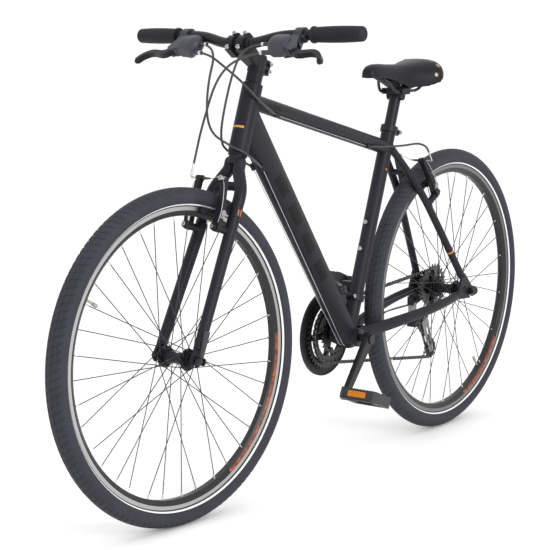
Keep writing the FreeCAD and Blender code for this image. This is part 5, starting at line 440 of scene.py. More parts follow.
class Finish(Nodes):
    """A material being built: two colours and two roughnesses in soft drifts, with patches."""

    def __init__(self, name, colour, second, scale, sheen, specular=0.5, metallic=0.0):
        self.material = bpy.data.materials.new(name)
        self.material.use_nodes = True
        super().__init__(self.material.node_tree)
        self.shader = self.tree.nodes["Principled BSDF"]
        self.feed(self.shader.inputs["Specular IOR Level"], specular)
        self.place = self.out("ShaderNodeTexCoord", output="Object")
        drift = self.noise(scale)
        self.colour = self.mix(self.spread(drift, 0.0, 1.0), colour, second)
        self.roughness = self.spread(drift, *sheen)
        self.metallic = metallic

    def local(self, matrix, vector=None):
        """Object coordinates seen from a frame of the bike."""
        inputs = {"Vector": vector or self.place, "Location": matrix.translation,
                  "Rotation": matrix.to_euler("XYZ")}
        return self.out("ShaderNodeMapping", inputs, vector_type="TEXTURE")

    def axes(self, vector):
        node = self.add("ShaderNodeSeparateXYZ", {"Vector": vector})
        return [node.outputs[axis] for axis in "XYZ"]

    def folded(self, vector):
        """Coordinates with the right side folded over onto the left."""
        x, y, z = self.axes(vector)
        inputs = {"X": x, "Y": self.maths("ABSOLUTE", y), "Z": z}
        return self.out("ShaderNodeCombineXYZ", inputs)

    def noise(self, scale, detail=3.0):
        inputs = {"Vector": self.place, "Scale": scale, "Detail": detail}
        return self.out("ShaderNodeTexNoise", inputs, "Fac")

    def cells(self, scale):
        return self.out("ShaderNodeTexVoronoi", {"Vector": self.place, "Scale": scale}, "Distance")

    def spread(self, value, low, high):
        """A texture's middle range stretched to run from low to high."""
        inputs = {"Value": value, "From Min": texture_low, "From Max": texture_high,
                  "To Min": low, "To Max": high}
        return self.out("ShaderNodeMapRange", inputs, "Result")

    def between(self, value, low, high):
        return self.maths("COMPARE", value, (low + high) / 2, (high - low) / 2)

    def both(self, first, second):
        return self.maths("MULTIPLY", first, second)

    def box(self, vector, low, high):
        """1 inside a box of a frame or of given coordinates, 0 outside it."""
        vector = self.local(vector) if isinstance(vector, Matrix) else vector
        x, y, z = [self.between(value, *span)
                   for value, span in zip(self.axes(vector), zip(low, high))]
        return self.both(self.both(x, y), z)

    def round_axle(self, matrix):
        """Distances from a wheel's axle and from its plane, and the turn about it in degrees."""
        x, y, z = self.axes(self.local(matrix))
        radius = self.maths("SQRT", self.maths("ADD", self.both(x, x), self.both(z, z)))
        turn = self.both(self.maths("ARCTAN2", z, x), degrees(1.0))
        return radius, self.maths("ABSOLUTE", y), self.maths("FLOORED_MODULO", turn, 360.0)

    def mix(self, mask, first, second, kind="RGBA"):
        start, end, result = mix_sockets[kind]
        inputs = {"Factor": mask, start: first, end: second}
        return self.out("ShaderNodeMix", inputs, result, data_type=kind)

    def patch(self, mask, colour, roughness, metallic=None):
        """A second colour and sheen where the mask is 1."""
        self.colour = self.mix(mask, self.colour, colour)
        self.roughness = self.mix(mask, self.roughness, roughness, "FLOAT")
        if metallic is not None:
            self.metallic = self.mix(mask, self.metallic, metallic, "FLOAT")

    def silver(self, *masks, colour=bright_steel):
        for mask in masks:
            self.patch(mask, colour, roughness=0.3, metallic=1.0)

    def relief(self, height, distance, strength):
        inputs = {"Height": height, "Distance": distance, "Strength": strength}
        self.feed(self.shader.inputs["Normal"], self.out("ShaderNodeBump", inputs, "Normal"))

    def done(self):
        for title, value in (("Base Color", self.colour), ("Roughness", self.roughness),
                             ("Metallic", self.metallic)):
            self.feed(self.shader.inputs[title], value)
        return self.material

    def grained(self, scale, distance, strength, detail=fine_detail):
        """The finished material, with a fine grain in relief."""
        self.relief(self.noise(scale, detail), distance, strength)
        return self.done()


def dress(material, *names):
    for name in names:
        nodes[name].data.materials.clear()
        nodes[name].data.materials.append(material)


def satin_paint(name, marks=(), panels=()):
    """Satin black paint, with coloured marks and gloss panels in boxes of given frames."""
    finish = Finish(name, *satin_black)
    for panel in panels:
        finish.patch(finish.box(*panel), gloss_black, roughness=0.2)
    for *box, colour in marks:
        finish.patch(finish.box(*box), colour, roughness=0.35)
    return finish.grained(1400.0, distance=0.00006, strength=0.5)


def metal(name, colour, darker, roughness, grain):
    """Bare or plated metal with a fine grain."""
    sheen = [roughness * share for share in metal_sheen_shares]
    finish = Finish(name, colour, darker, grain, sheen, metallic=1.0)
    return finish.grained(grain * 2.0, distance=0.00004, strength=0.4)


def plastic(name, colour, lighter, roughness, specular, grain):
    """Moulded plastic or rubber with a fine spark-eroded grain."""
    sheen = [roughness * share for share in plastic_sheen_shares]
    finish = Finish(name, colour, lighter, plastic_drift_scale, sheen, specular)
    return finish.grained(grain, distance=0.00009, strength=0.6)


def black_alloy(name, silver_boxes=()):
    """Black anodised alloy, with bare metal in boxes of given frames."""
    finish = Finish(name, *anodised_black)
    finish.silver(*(finish.box(*box) for box in silver_boxes), colour=grey_steel)
    return finish.grained(1400.0, distance=0.00005, strength=0.5)


seat_frame = run_matrix(bracket, seat_top)
down_frame = run_matrix(bracket, down_high)

# Marks as (frame, low and high corners of a box, colour), and panels without a colour
head_stripe = (run_matrix(head_low, head_high), (0.0, -0.014, 0.0505), (wide, 0.014, 0.055),
               accent_gold)
seat_dashes = [(seat_frame, (0.0, 0.0, 0.4), (0.006, wide, 0.404), accent_orange),
               (seat_frame, (-0.01, 0.0, 0.399), (-0.004, wide, 0.404), accent_orange)]
seatstay_ring = (run_matrix(left_seatstay_bend, left_seatstay_end), (-wide, -wide, 0.193),
                 (wide, wide, 0.1965), accent_gold)
chainstay_mark = (run_matrix(right_chainstay_front, right_chainstay_end), (-0.005, 0.0, 0.06),
                  (0.005, wide, 0.15), accent_orange)
leg_dashes = [(steer_matrix, (0.01, 0.0, 0.313), (0.014, wide, 0.327), accent_orange),
              (steer_matrix, (0.017, 0.0, 0.314), (0.02, wide, 0.326), accent_orange)]
down_panels = [(down_frame, (-0.02, -wide, panel_start + step * panel_pitch),
                (0.02, wide, panel_end + step * panel_pitch)) for step in range(panel_count)]
top_panel = (run_matrix(top_front, top_rear), (-0.006, -wide, 0.045), (0.006, wide, 0.095))

dress(satin_paint("head_tube_paint", [head_stripe]), "head_tube")
dress(satin_paint("down_tube_paint", [], down_panels), "down_tube")
dress(satin_paint("top_tube_paint", [], [top_panel]), "top_tube")
dress(satin_paint("seat_tube_paint", seat_dashes), "seat_tube")
dress(satin_paint("seatstay_paint", [seatstay_ring]), "seat_stays")
dress(satin_paint("chainstay_paint", [chainstay_mark]), "chain_stays")
dress(satin_paint("fork_paint", leg_dashes), "fork_legs")
dress(satin_paint("frame_paint_plain"), "bottom_bracket_shell", "dropouts", "fork_steerer")

for _, matrix, _, anchor_arm, tube_arm, _ in brakes:
    left_nut = (matrix, (0.0, pad_nut_y, pad_nut_bottom), (wide, wide, pad_nut_top))
    right_nut = (matrix, (0.0, -wide, pad_nut_bottom), (wide, -pad_nut_y, pad_nut_top))
    anchor = (matrix, anchor_low, anchor_high)
    dress(black_alloy(anchor_arm + "_finish", [left_nut, anchor]), anchor_arm)
    dress(black_alloy(tube_arm + "_finish", [right_nut]), tube_arm)
dress(black_alloy("black_alloy"), "stem", "handlebar", "frame_fittings", "seatpost",
      "brake_lever_left", "brake_lever_right", "front_hub", "rear_hub", "rear_derailleur_body",
      "derailleur_mounts")

skins = {}
for make, table in ((metal, metals), (plastic, plastics)):
    for name, *recipe, dressed in table:
        skins[name] = make(name, *recipe)
        dress(skins[name], *dressed)
# Housings and boots wear the plain sheath that comes with the frame
skins["plain_sheath"] = bpy.data.materials["cable_sheath"]


def spoke_finish(name, matrix):
    """Dark drawn wire with bare nipples at the rim."""
    finish = Finish(name, *spoke_black, metallic=1.0)
    radius, _, _ = finish.round_axle(matrix)
    finish.silver(finish.between(radius, nipple_inner_radius, nipple_outer_radius))
    return finish.grained(1800.0, distance=0.00003, strength=0.4)


def frame_cable_finish():
    """Bare wires under the tubes, and a black sheath on the loop to the rear derailleur."""
    finish = Finish("frame_cable_finish", *bare_wire, metallic=1.0)
    x, _, z = finish.axes(finish.place)
    loop = finish.both(finish.between(x, shift_loop_rear_x, shift_loop_front_x),
                       finish.between(z, 0.0, shift_loop_top_z))
    finish.patch(loop, sheath_black, roughness=0.35, metallic=0.0)
    return finish.grained(1600.0, distance=0.00004, strength=0.4)


def pod_finish():
    """Charcoal moulded pods with bare adjuster ends where the cables leave."""
    finish = Finish("pod_plastic", *moulded_charcoal)
    place = finish.local(pod_matrix, finish.folded(finish.local(steer_matrix)))
    finish.silver(finish.box(place, barrel_low, barrel_high),
                  finish.box(place, ferrule_low, ferrule_high))
    return finish.grained(1600.0, distance=0.00009, strength=0.6)


def pedal_finish(name, side):
    """Black moulded pedal with an amber lens set in its front and back edges."""
    angle = radians(crank_angle if side > 0 else crank_angle + 180.0)
    eye = bracket + Vector((cos(angle), 0.0, sin(angle))) * crank_length
    matrix = Matrix.Translation(eye) @ Matrix.Rotation(radians(pedal_tilt), 4, "Y")
    finish = Finish(name, *moulded_black)
    x, y, z = finish.axes(finish.local(matrix))
    middle = side * (pedal_inner_y + pedal_width / 2)
    edge = finish.between(finish.maths("ABSOLUTE", x), pedal_depth / 2 - reflector_depth,
                          pedal_depth)
    across = finish.between(y, middle - reflector_width / 2, middle + reflector_width / 2)
    upright = finish.between(z, -reflector_height / 2, reflector_height / 2)
    facets = finish.spread(finish.cells(lens_facet_scale), 0.0, 1.0)
    lens = finish.both(finish.both(edge, across), upright)
    finish.patch(lens, finish.mix(facets, amber_deep, amber), roughness=0.22)
    return finish.grained(1500.0, distance=0.00008, strength=0.5)


def rim_finish(name, matrix, band_turns, track_grey):
    """Black anodised rim with machined brake tracks and a broken orange band."""
    finish = Finish(name, *rim_black)
    radius, aside, turn = finish.round_axle(matrix)
    in_turns = finish.between(turn, *band_turns)
    band = finish.between(radius, rim_band_inner_radius, rim_band_outer_radius)
    wear = finish.spread(finish.noise(band_wear_scale, fine_detail), 0.0, 1.0)
    worn_orange = finish.mix(wear, band_orange, band_brown)
    finish.patch(finish.both(band, in_turns), worn_orange, roughness=0.4)
    line = finish.between(radius, rim_line_inner_radius, rim_line_outer_radius)
    finish.patch(finish.both(line, in_turns), band_brown, roughness=0.4)
    track = finish.both(finish.between(radius, rim_track_inner_radius, rim_track_outer_radius),
                        finish.between(aside, rim_track_half_width, wide))
    # The track's grey is darker on the rear wheel: painted shade
    finish.patch(track, track_grey, roughness=0.34, metallic=1.0)
    bed = finish.between(radius, 0.0, rim_bed_radius)
    finish.patch(bed, rim_bed_alloy, roughness=0.3, metallic=1.0)
    rings = finish.maths("SINE", finish.both(radius, track_ring_scale))
    finish.relief(finish.both(rings, track), distance=0.00004, strength=0.4)
    return finish.done()


def tyre_finish(name, matrix):
    """Black rubber with a dusty bloom, moulded grain and a pale stripe on each sidewall."""
    finish = Finish(name, *dusty_rubber)
    radius, _, _ = finish.round_axle(matrix)
    stripe = finish.between(radius, stripe_inner_radius, stripe_outer_radius)
    finish.patch(stripe, stripe_white, roughness=0.4)
    return finish.grained(1100.0, distance=0.00012, strength=0.6, detail=3.0)


def saddle_finish():
    """Black stretch cover with a fine leather grain."""
    finish = Finish("saddle_cover", *stretch_cover)
    grain = finish.maths("ADD", finish.cells(cover_cell_scale), finish.noise(cover_noise_scale))
    finish.relief(grain, distance=0.00012, strength=0.45)
    return finish.done()


for end, matrix, band_turns, track_grey, _ in wheels:
    dress(spoke_finish(end + "_spoke_finish", matrix), end + "_spokes")
    dress(rim_finish(end + "_rim_finish", matrix, band_turns, track_grey), end + "_rim")
dress(frame_cable_finish(), "frame_cables")
dress(pod_finish(), "shifter_pods")
dress(pedal_finish("pedal_left_finish", 1), "pedal_left")
dress(pedal_finish("pedal_right_finish", -1), "pedal_right")


# Repeated shapes

class Tree(Nodes):
    """A tree of geometry nodes being built, with named inputs."""

    def __init__(self, name, shape, result, **inputs):
        super().__init__(bpy.data.node_groups.new(name, "GeometryNodeTree"))
        face = self.tree.interface
        face.new_socket(shape, in_out="INPUT", socket_type="NodeSocketGeometry")
        self.sockets = {}
        for title, kind in inputs.items():
            socket = face.new_socket(title, in_out="INPUT", socket_type="NodeSocket" + kind)
            self.sockets[title] = socket.identifier
        face.new_socket(result, in_out="OUTPUT", socket_type="NodeSocketGeometry")
        self.given = self.add("NodeGroupInput").outputs
        self.result = self.add("NodeGroupOutput").inputs[0]

    def changed(self, kind, geometry, **inputs):
        """The geometry put through a node that takes it in its first socket."""
        return self.out(kind, {0: geometry, **inputs})

    def attribute(self, kind, title):
        return self.out("GeometryNodeInputNamedAttribute", {"Name": title}, "Attribute",
                        data_type=kind)

    def copies(self, points, shape, rotation, **scale):
        inputs = {"Points": points, "Instance": shape, "Rotation": rotation, **scale}
        return self.changed("GeometryNodeRealizeInstances",
                            self.out("GeometryNodeInstanceOnPoints", inputs))

    def finish(self, geometry):
        skin = self.given["Skin"]
        self.feed(self.result, self.changed("GeometryNodeSetMaterial", geometry, Material=skin))
        return self


def round_the_axle():
    """Repeats a sector round the Y axis and joins the copies at their seams."""
    tree = Tree("round_the_axle", "Sector", "Ring", Count="Int", Seam="Float", Skin="Material")
    count, index = tree.given["Count"], tree.out("GeometryNodeInputIndex")
    points = tree.out("GeometryNodePoints", {"Count": count})
    angle = tree.maths("MULTIPLY", tree.maths("DIVIDE", index, count), -2.0 * pi)
    turn = tree.out("FunctionNodeAxisAngleToRotation", {"Axis": left, "Angle": angle})
    ring = tree.copies(points, tree.given["Sector"], turn)
    seam = tree.given["Seam"]
    return tree.finish(tree.changed("GeometryNodeMergeByDistance", ring, Distance=seam))


def placed_on_axes(tree, shape):
    """Copies of a shape at the given places, each turned to its axis and scaled to its size."""
    inputs = {"Vector": tree.attribute("FLOAT_VECTOR", "axis")}
    turn = tree.out("FunctionNodeAlignRotationToVector", inputs, axis="Z")
    size = tree.attribute("FLOAT", "size")
    return tree.finish(tree.copies(tree.given["Places"], shape, turn, Scale=size))


def bolt_heads():
    """Round heads with a hexagon socket, one at each place."""
    tree = Tree("bolt_heads", "Places", "Heads", Sides="Int", Height="Float", Socket="Float",
                Skin="Material")
    height = tree.given["Height"]
    head, key = [
        tree.out("GeometryNodeMeshCylinder", {"Vertices": sides, "Radius": radius, "Depth": height})
        for sides, radius in ((tree.given["Sides"], 1.0), (key_sides, tree.given["Socket"]))]
    rise = tree.out("ShaderNodeCombineXYZ", {"Z": tree.maths("MULTIPLY", height, socket_share)})
    lifted = tree.changed("GeometryNodeTransform", key, Translation=rise)
    inputs = {"Mesh 1": head, "Mesh 2": lifted}
    return placed_on_axes(tree, tree.out("GeometryNodeMeshBoolean", inputs,
                                         operation="DIFFERENCE"))


def rivet_heads():
    """Low domes, one at each place."""
    tree = Tree("rivet_heads", "Places", "Rivets", Scale="Vector", Skin="Material")
    inputs = {"Segments": rivet_segments, "Rings": rivet_rings, "Radius": 1.0}
    dome = tree.out("GeometryNodeMeshUVSphere", inputs)
    scale = tree.given["Scale"]
    return placed_on_axes(tree, tree.changed("GeometryNodeTransform", dome, Scale=scale))


def put(name, data):
    """A new object in the scene."""
    thing = bpy.data.objects.new(name, data)
    scene.collection.objects.link(thing)
    return thing


def settle(thing, matrix=None):
    """The evaluated object as a plain mesh in place, with no modifier left."""
    bpy.context.view_layer.update()
    graph = bpy.context.evaluated_depsgraph_get()
    mesh = bpy.data.meshes.new_from_object(thing.evaluated_get(graph))
    name = thing.name
    bpy.data.objects.remove(thing)
    mesh.transform(matrix or Matrix.Identity(4))
    return put(name, mesh)


def grown(name, mesh, tree, matrix=None, **values):
    """A mesh put through a tree with its inputs set."""
    thing = put(name, mesh)
    repeat = thing.modifiers.new("repeat", "NODES")
    repeat.node_group = tree.tree
    for title, value in values.items():
        repeat[tree.sockets[title]] = value
    return settle(thing, matrix)


def places(name, spots):
    """A mesh of loose points, each with its axis and size."""
    mesh = bpy.data.meshes.new(name)
    mesh.from_pydata([tuple(spot) for spot, _, _ in spots], [], [])
    mesh.attributes.new("axis", "FLOAT_VECTOR", "POINT")
    mesh.attributes.new("size", "FLOAT", "POINT")
    axes = [value for _, axis, _ in spots for value in axis]
    mesh.attributes["axis"].data.foreach_set("vector", axes)
    mesh.attributes["size"].data.foreach_set("value", [radius for _, _, radius in spots])
    return mesh


def lofted(name, loops, capped=True):
    """A mesh through loops of points, closed at both ends if capped."""
    mesh = bpy.data.meshes.new(name)
    shape = bmesh.new()
    loops = [[shape.verts.new(point) for point in loop] for loop in loops]
    for near, far in zip(loops, loops[1:]):
        for low, high in zip(range(len(near)), [*range(1, len(near)), 0]):
            shape.faces.new((near[low], near[high], far[high], far[low]))
    if capped:
        shape.faces.new(loops[0])
        shape.faces.new(loops[-1])
    bmesh.ops.recalc_face_normals(shape, faces=shape.faces)
    shape.to_mesh(mesh)
    shape.free()
    return mesh


def turns(count):
    """Angles that share out a full turn."""
    return [2.0 * pi * number / count for number in range(count)]


def smooth_and_outward(piece):
    shape = bmesh.new()
    shape.from_mesh(piece.data)
    bmesh.ops.recalc_face_normals(shape, faces=shape.faces)
    shape.to_mesh(piece.data)
    shape.free()
    piece.data.shade_smooth()


def smooth_piece(name, mesh, material):
    mesh.materials.append(material)
    piece = put(name, mesh)
    smooth_and_outward(piece)
    return piece


def mount(piece, slot, body, *replaced):
    """Hides the nodes a piece stands for and hangs it on the body that carries it. The slot is not
    used.
    """
    if replaced:
        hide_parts(*replaced)
    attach(piece, body)


ring_tree, bolt_tree, rivet_tree = round_the_axle(), bolt_heads(), rivet_heads()


# Tyres

def tread_rows():
    """Rows of the tyre's section from right to left as (angle, true in a lengthwise groove)."""
    rows = [(angle, angle in groove_angles) for angle in tread_angles]
    return [(-angle, groove) for angle, groove in reversed(rows[1:])] + rows


def bead_rows():
    """Rows of the tyre's lips and closed inside as (radius, half width, side)."""
    rows = [(tyre_lip_radius, tyre_lip_half_width), (tyre_bead_radius, tyre_bead_half_width),
            (tyre_inner_radius, tyre_bead_half_width)]
    return [(*row, 1) for row in rows] + [(*row, -1) for row in reversed(rows)]


def tread_column(share, bulge):
    """Points round the tyre's section at a share of one pitch of the tread."""
    pitch = radians(360.0 / sipe_count)
    in_sipe = share in (0.0, 1.0)
    spots = []
    for angle, groove in tread_rows():
        spread = min(abs(angle), sipe_end_angle) / sipe_end_angle
        stagger = max(-1.0, min(1.0, angle / groove_angles[0])) * sipe_stagger_share
        turn = (share + stagger + sipe_sweep_share * spread ** sipe_sweep_power) * pitch
        sipe = in_sipe and sipe_start_angle < abs(angle) < sipe_end_angle
        cut = max(sipe_depth if sipe else 0.0, groove_depth if groove else 0.0)
        section = tyre_section_radius - cut
        radius = tyre_section_centre + section * cos(radians(angle))
        spots.append((radius, section * bulge * sin(radians(angle)), turn))
    for radius, half, side in bead_rows():
        turn = (share + side * sipe_stagger_share + sipe_sweep_share) * pitch
        spots.append((radius, side * half, turn))
    return [(radius * cos(turn), aside, radius * sin(turn))
            for radius, aside, turn in spots]


# One pitch of tread with a sipe at each end, sidewalls and an inside, round each wheel
for end, matrix, _, _, bulge in wheels:
    columns = [tread_column(share, bulge) for share in sipe_column_shares]
    tyre = grown(end + "_tread", lofted("tread_sector", columns, capped=False), ring_tree, matrix,
                 Count=sipe_count, Seam=seam_reach,
                 Skin=tyre_finish(end + "_tread_rubber", matrix))
    smooth_and_outward(tyre)
    mount(tyre, "tyre_rubber", end + "_wheel", end + "_tyre")


# Bolts

def make_bolts(name, spots, body):
    piece = grown(name, places(name, spots), bolt_tree, Sides=head_sides,
                  Height=head_height_share, Socket=socket_share, Skin=skins["bright_steel"])
    mount(piece, "steel", body)


def brake_spot(matrix, place, radius):
    """A bolt that looks out of a brake, at a place in the brake's frame."""
    return matrix @ Vector(place), matrix.to_3x3() @ Vector((1.0, 0.0, 0.0)), radius


def boss_spots(matrix):
    return [brake_spot(matrix, (boss_face, side * boss_half_spacing, 0.0), boss_bolt_radius)
            for side in (1, -1)]


make_bolts("steering_bolts", [*stem_bolts, *boss_spots(front_brake)], "steering")
make_bolts("frame_bolts", [*frame_bolts, *boss_spots(rear_brake)], "frame")
for end, matrix, _, anchor_arm, _, _ in brakes:
    spot = brake_spot(matrix, (anchor_face, arm_top_y, arm_top_up), anchor_bolt_radius)
    make_bolts(end + "_anchor_bolt", [spot], anchor_arm)


# Lines: housings between the bar and the frame, brake cables and springs, saddle rails

def smooth_line(name, route, radius, skin):
    curve = bpy.data.curves.new(name, "CURVE")
    curve.dimensions = "3D"
    curve.bevel_depth = radius
    curve.bevel_resolution = line_rounding
    curve.resolution_u = line_steps
    curve.use_fill_caps = True
    line = curve.splines.new("NURBS")
    line.points.add(len(route) - 1)
    for point, place in zip(line.points, route):
        point.co = (*place, 1.0)
    line.order_u = line_order
    line.use_endpoint_u = True
    piece = settle(put(name, curve))
    piece.data.materials.append(skins[skin])
    piece.data.shade_smooth()
    return piece


def seen_from(matrix, route, side=1):
    """A route in a frame of the bike, or its mirror image, as places on the bike."""
    return [matrix @ Vector((x, side * y, z)) for x, y, z in route]


for name, route in (("rear_shift_housing", rear_shift_route),
                    ("front_shift_housing", front_shift_route),
                    ("rear_brake_housing", rear_brake_route)):
    housing = smooth_line(name, route, housing_radius, "plain_sheath")
    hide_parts("steering_housings")
    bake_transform(housing)


def boot(name, matrix):
    """A tapered ribbed boot over the end of a brake's guide tube."""
    loops = []
    steps = boot_rib_count * 2
    for step in range(steps + 1):
        share = step / steps
        radius = boot_radius + (boot_end_radius - boot_radius) * share
        radius -= boot_rib_depth * (step % 2)
        loops.append([boot_start + Vector((radius * cos(turn), boot_length * share,
                                           radius * sin(turn)))
                      for turn in turns(boot_sides)])
    mesh = lofted(name, loops)
    mesh.transform(matrix)
    return smooth_piece(name, mesh, skins["plain_sheath"])


for end, matrix, carrier, anchor_arm, tube_arm, route in brakes:
    name, node = end + "_brake", end + "_brake_cable"
    tube = smooth_line(name + "_guide_tube", seen_from(matrix, guide_tube_route),
                       guide_tube_radius, "bright_steel")
    mount(tube, "steel", tube_arm, node)
    mount(boot(name + "_boot", matrix), "cable_sheath", tube_arm, node)
    wire = smooth_line(name + "_wire", seen_from(matrix, brake_wire_route), brake_wire_radius,
                       "bright_steel")
    mount(wire, "steel", anchor_arm, node)
    housing = smooth_line(node + "_housing", route, housing_radius, "plain_sheath")
    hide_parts(node)
    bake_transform(housing)

for _, matrix, _, *arms, _ in brakes:
    for arm, side in zip(arms, (1, -1)):
        spring = smooth_line(arm + "_spring", seen_from(matrix, spring_route, side),
                             spring_radius, "bright_steel")
        mount(spring, "steel", arm)

for name, side in (("saddle_rail_left", 1), ("saddle_rail_right", -1)):
    route = seen_from(Matrix.Identity(4), rail_route, side)
    rail = smooth_line(name, route, rail_radius, "rail_black")
    mount(rail, "steel", "seatpost", "saddle_rails")


# Chain: its links round the pulleys move with the rear derailleur, and those on the lower run stay
# where they are

def links(shape):
    """The links of a merged mesh, each as a list of its points."""
    seen, found = set(), []
    for first in shape.verts:
        if first in seen:
            continue
        seen.add(first)
        link = [first]
        for point in link:
            near = [end for edge in point.link_edges for end in edge.verts if end not in seen]
            seen.update(near)
            link += near
        found.append(link)
    return found


def link_place(link):
    """Which part of the chain a link belongs to."""
    middle = sum((point.co for point in link), Vector()) / len(link)
    if run_rear_x < middle.x < run_front_x and middle.z < run_top_z:
        return "chain_lower_run"
    if middle.x < wrap_front_x and middle.z < wrap_top_z:
        return "chain_on_pulleys"
    return "chain_on_teeth"


def chain_parts(whole):
    """The chain as three pieces of whole links."""
    shape = bmesh.new()
    shape.from_mesh(whole)
    bmesh.ops.remove_doubles(shape, verts=shape.verts, dist=merge_reach)
    shape.verts.index_update()
    place = {}
    for link in links(shape):
        place.update(dict.fromkeys((point.index for point in link), link_place(link)))
    parts = {}
    for name in ("chain_on_teeth", "chain_on_pulleys", "chain_lower_run"):
        part = shape.copy()
        spare = [point for number, point in enumerate(part.verts) if place[number] != name]
        bmesh.ops.delete(part, geom=spare, context="VERTS")
        mesh = bpy.data.meshes.new(name)
        part.to_mesh(mesh)
        part.free()
        parts[name] = smooth_piece(name, mesh, skins["chain_steel"])
        mesh.set_sharp_from_angle(angle=link_edge_angle)
    shape.free()
    return parts


chain = chain_parts(nodes["chain"].data)
mount(chain["chain_on_teeth"], "chain_steel", "frame", "chain")
mount(chain["chain_on_pulleys"], "chain_steel", "rear_derailleur_cage", "chain")
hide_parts("chain")
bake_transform(chain["chain_lower_run"])


# Saddle

def along_stations(stations, share):
    """A value at a share of the length, by a smooth curve through the stations."""
    number = max(index for index in range(len(stations) - 1) if stations[index][0] <= share)
    (low, first), (high, last) = stations[number], stations[number + 1]
    before = stations[number - 1] if number > 0 else stations[number]
    after = stations[number + 2] if number + 2 < len(stations) else stations[number + 1]
    width = high - low
    start_slope = (last - before[1]) / (high - before[0]) * width
    end_slope = (after[1] - first) / (after[0] - low) * width
    t = (share - low) / width
    return ((2 * t ** 3 - 3 * t ** 2 + 1) * first + (t ** 3 - 2 * t ** 2 + t) * start_slope
            + (3 * t ** 2 - 2 * t ** 3) * last + (t ** 3 - t ** 2) * end_slope)


def saddle_x(share):
    return saddle_nose_x + (saddle_rear_x - saddle_nose_x) * share


def saddle_section(share):
    """One loop round the saddle: over the top from right to left, back under the hollow base."""
    edge, crown = along_stations(saddle_edge, share), along_stations(saddle_crown, share)
    half = along_stations(saddle_half_width, share) - saddle_shrink
    crown -= saddle_shrink
    power = 2.0 / saddle_squareness
    x = saddle_x(share)
    top = []
    for number in range(saddle_arc_count + 1):
        angle = pi * (1.0 - number / saddle_arc_count)
        aside = copysign(abs(cos(angle)) ** power, cos(angle)) * half
        top.append((x, aside, edge + (crown - edge) * abs(sin(angle)) ** power))
    hollow = min(saddle_hollow, (crown - edge) * saddle_hollow_share)
    hollow *= min(1.0, share / saddle_solid_nose)
    inner = max(half - saddle_lip, saddle_lip)
    under = []
    for number in range(1, saddle_arc_count // 2):
        y = 1.0 - 2.0 * number / (saddle_arc_count // 2)
        under.append((x, y * inner, edge + hollow * (1.0 - y ** saddle_hollow_power)))
    return top + under


def modified(thing, kind, **settings):
    step = thing.modifiers.new(kind.lower(), kind)
    for key, value in settings.items():
        setattr(step, key, value)
    return settle(thing)


def swollen(thing):
    """The shell filled by a short cloth run, held at its base, each point's travel capped."""
    start = [point.co.copy() for point in thing.data.vertices]
    base = thing.vertex_groups.new(name="base")
    held = [point.index for point in thing.data.vertices if point.normal.z < saddle_held_slope]
    base.add(held, 1.0, "REPLACE")
    cloth = thing.modifiers.new("stuffing", "CLOTH")
    cloth.settings.use_pressure = True
    cloth.settings.uniform_pressure_force = saddle_pressure
    cloth.settings.effector_weights.gravity = 0.0
    cloth.settings.vertex_group_mass = "base"
    cloth.point_cache.frame_start = 1
    cloth.point_cache.frame_end = saddle_frames
    for number in range(1, saddle_frames + 1):
        scene.frame_set(number)
    piece = settle(thing)
    for point, old in zip(piece.data.vertices, start):
        travel = point.co - old
        if travel.length > saddle_swell:
            point.co = old + travel.normalized() * saddle_swell
    scene.frame_set(1)
    return piece


def make_saddle():
    loops = [saddle_section(number / saddle_station_count)
             for number in range(saddle_station_count + 1)]
    shell = put("saddle_cover", lofted("saddle_cover", loops))
    shell = modified(shell, "REMESH", mode="VOXEL", voxel_size=saddle_voxel)
    shell = modified(shell, "SMOOTH", factor=saddle_smoothing, iterations=saddle_early_smoothings)
    shell = swollen(shell)
    shell = modified(shell, "SMOOTH", factor=saddle_smoothing, iterations=saddle_late_smoothings)
    shell = modified(shell, "SUBSURF", levels=1, render_levels=1)
    shell.data.materials.append(saddle_finish())
    smooth_and_outward(shell)
    return shell


def saddle_base():
    """The moulded base under the cover, a keel between the rails."""
    loops = []
    for number in range(base_station_count + 1):
        along = number / base_station_count
        share = base_start_share + (base_end_share - base_start_share) * along
        fullness = max(sin(pi * along), base_least_fullness) ** base_fullness_power
        edge = along_stations(saddle_edge, share)
        top, low = edge + base_rise, edge - base_drop * fullness
        middle, rise = (top + low) / 2, (top - low) / 2
        full_share = base_end_width_share + (1.0 - base_end_width_share) * fullness
        half = base_half_width * full_share
        loops.append([(saddle_x(share), half * cos(turn), middle + rise * sin(turn))
                      for turn in turns(base_sides)])
    return smooth_piece("saddle_base", lofted("saddle_base", loops), skins["base_plastic"])


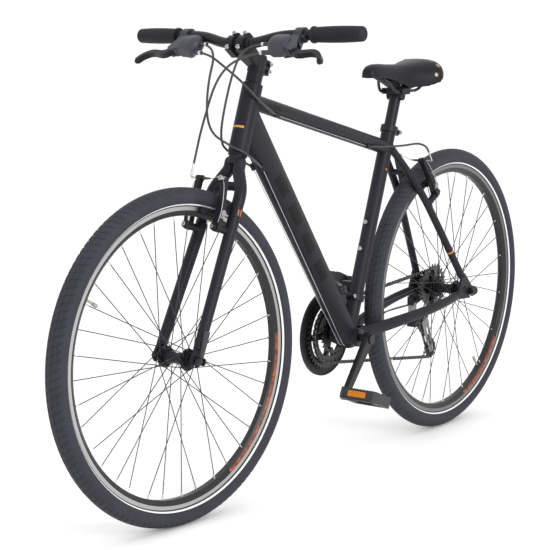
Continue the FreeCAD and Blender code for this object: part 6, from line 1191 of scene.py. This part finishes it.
def rivet_spots(cover):
    """Points round the back of the saddle, found by looking in at it from outside."""
    spots = []
    bpy.context.view_layer.update()
    for bearing, height in rivet_bearings:
        turn, lift = radians(bearing), radians(height)
        out = Vector((-cos(turn) * cos(lift), sin(turn) * cos(lift), sin(lift)))
        hit, place, normal, _ = cover.ray_cast(rivet_middle + out, -out)
        if hit:
            spots.append((place, normal, rivet_radius))
    return spots


cover = make_saddle()
rivets = grown("saddle_rivets", places("saddle_rivets", rivet_spots(cover)), rivet_tree,
               Scale=(1.0, 1.0, rivet_flatness), Skin=skins["rivet_brass"])
rivets.data.shade_smooth()
mount(rivets, "steel", "seatpost")
mount(cover, "saddle_cover", "seatpost", "saddle")
mount(saddle_base(), "guard_plastic", "seatpost", "saddle")


# Studio

def make_floor():
    mesh = bpy.data.meshes.new("floor")
    shape = bmesh.new()
    bmesh.ops.create_grid(shape, x_segments=1, y_segments=1, size=floor_half_size)
    shape.to_mesh(mesh)
    shape.free()
    floor = put("floor", mesh)
    mesh.materials.append(Finish("floor_paper", *white_paper).done())


def aim(thing, place, target, roll=0.0):
    """Sets a light or a camera at its place, looking at its target."""
    turn = (target - place).to_track_quat("-Z", "Y").to_matrix().to_4x4()
    thing.matrix_world = Matrix.Translation(place) @ turn @ Matrix.Rotation(radians(roll), 4, "Z")


def make_light(name, place, target, size, power):
    lamp = bpy.data.lights.new(name, "AREA")
    lamp.shape = "DISK"
    lamp.size = size
    lamp.energy = power
    aim(put(name, lamp), Vector(place), Vector(target))


def make_camera():
    lens = bpy.data.cameras.new("camera")
    lens.sensor_width = sensor_width
    lens.lens = camera_focal_pixels / picture_pixels * sensor_width
    scene.camera = put("camera", lens)
    aim(scene.camera, camera_place, camera_target, camera_roll)


make_floor()
for light in lights:
    make_light(*light)
make_camera()
studio = bpy.data.worlds.new("studio")
studio.use_nodes = True
background = studio.node_tree.nodes["Background"]
background.inputs["Color"].default_value = (1.0, 1.0, 1.0, 1.0)
background.inputs["Strength"].default_value = studio_strength
scene.world = studio
scene.view_settings.view_transform = "Standard"
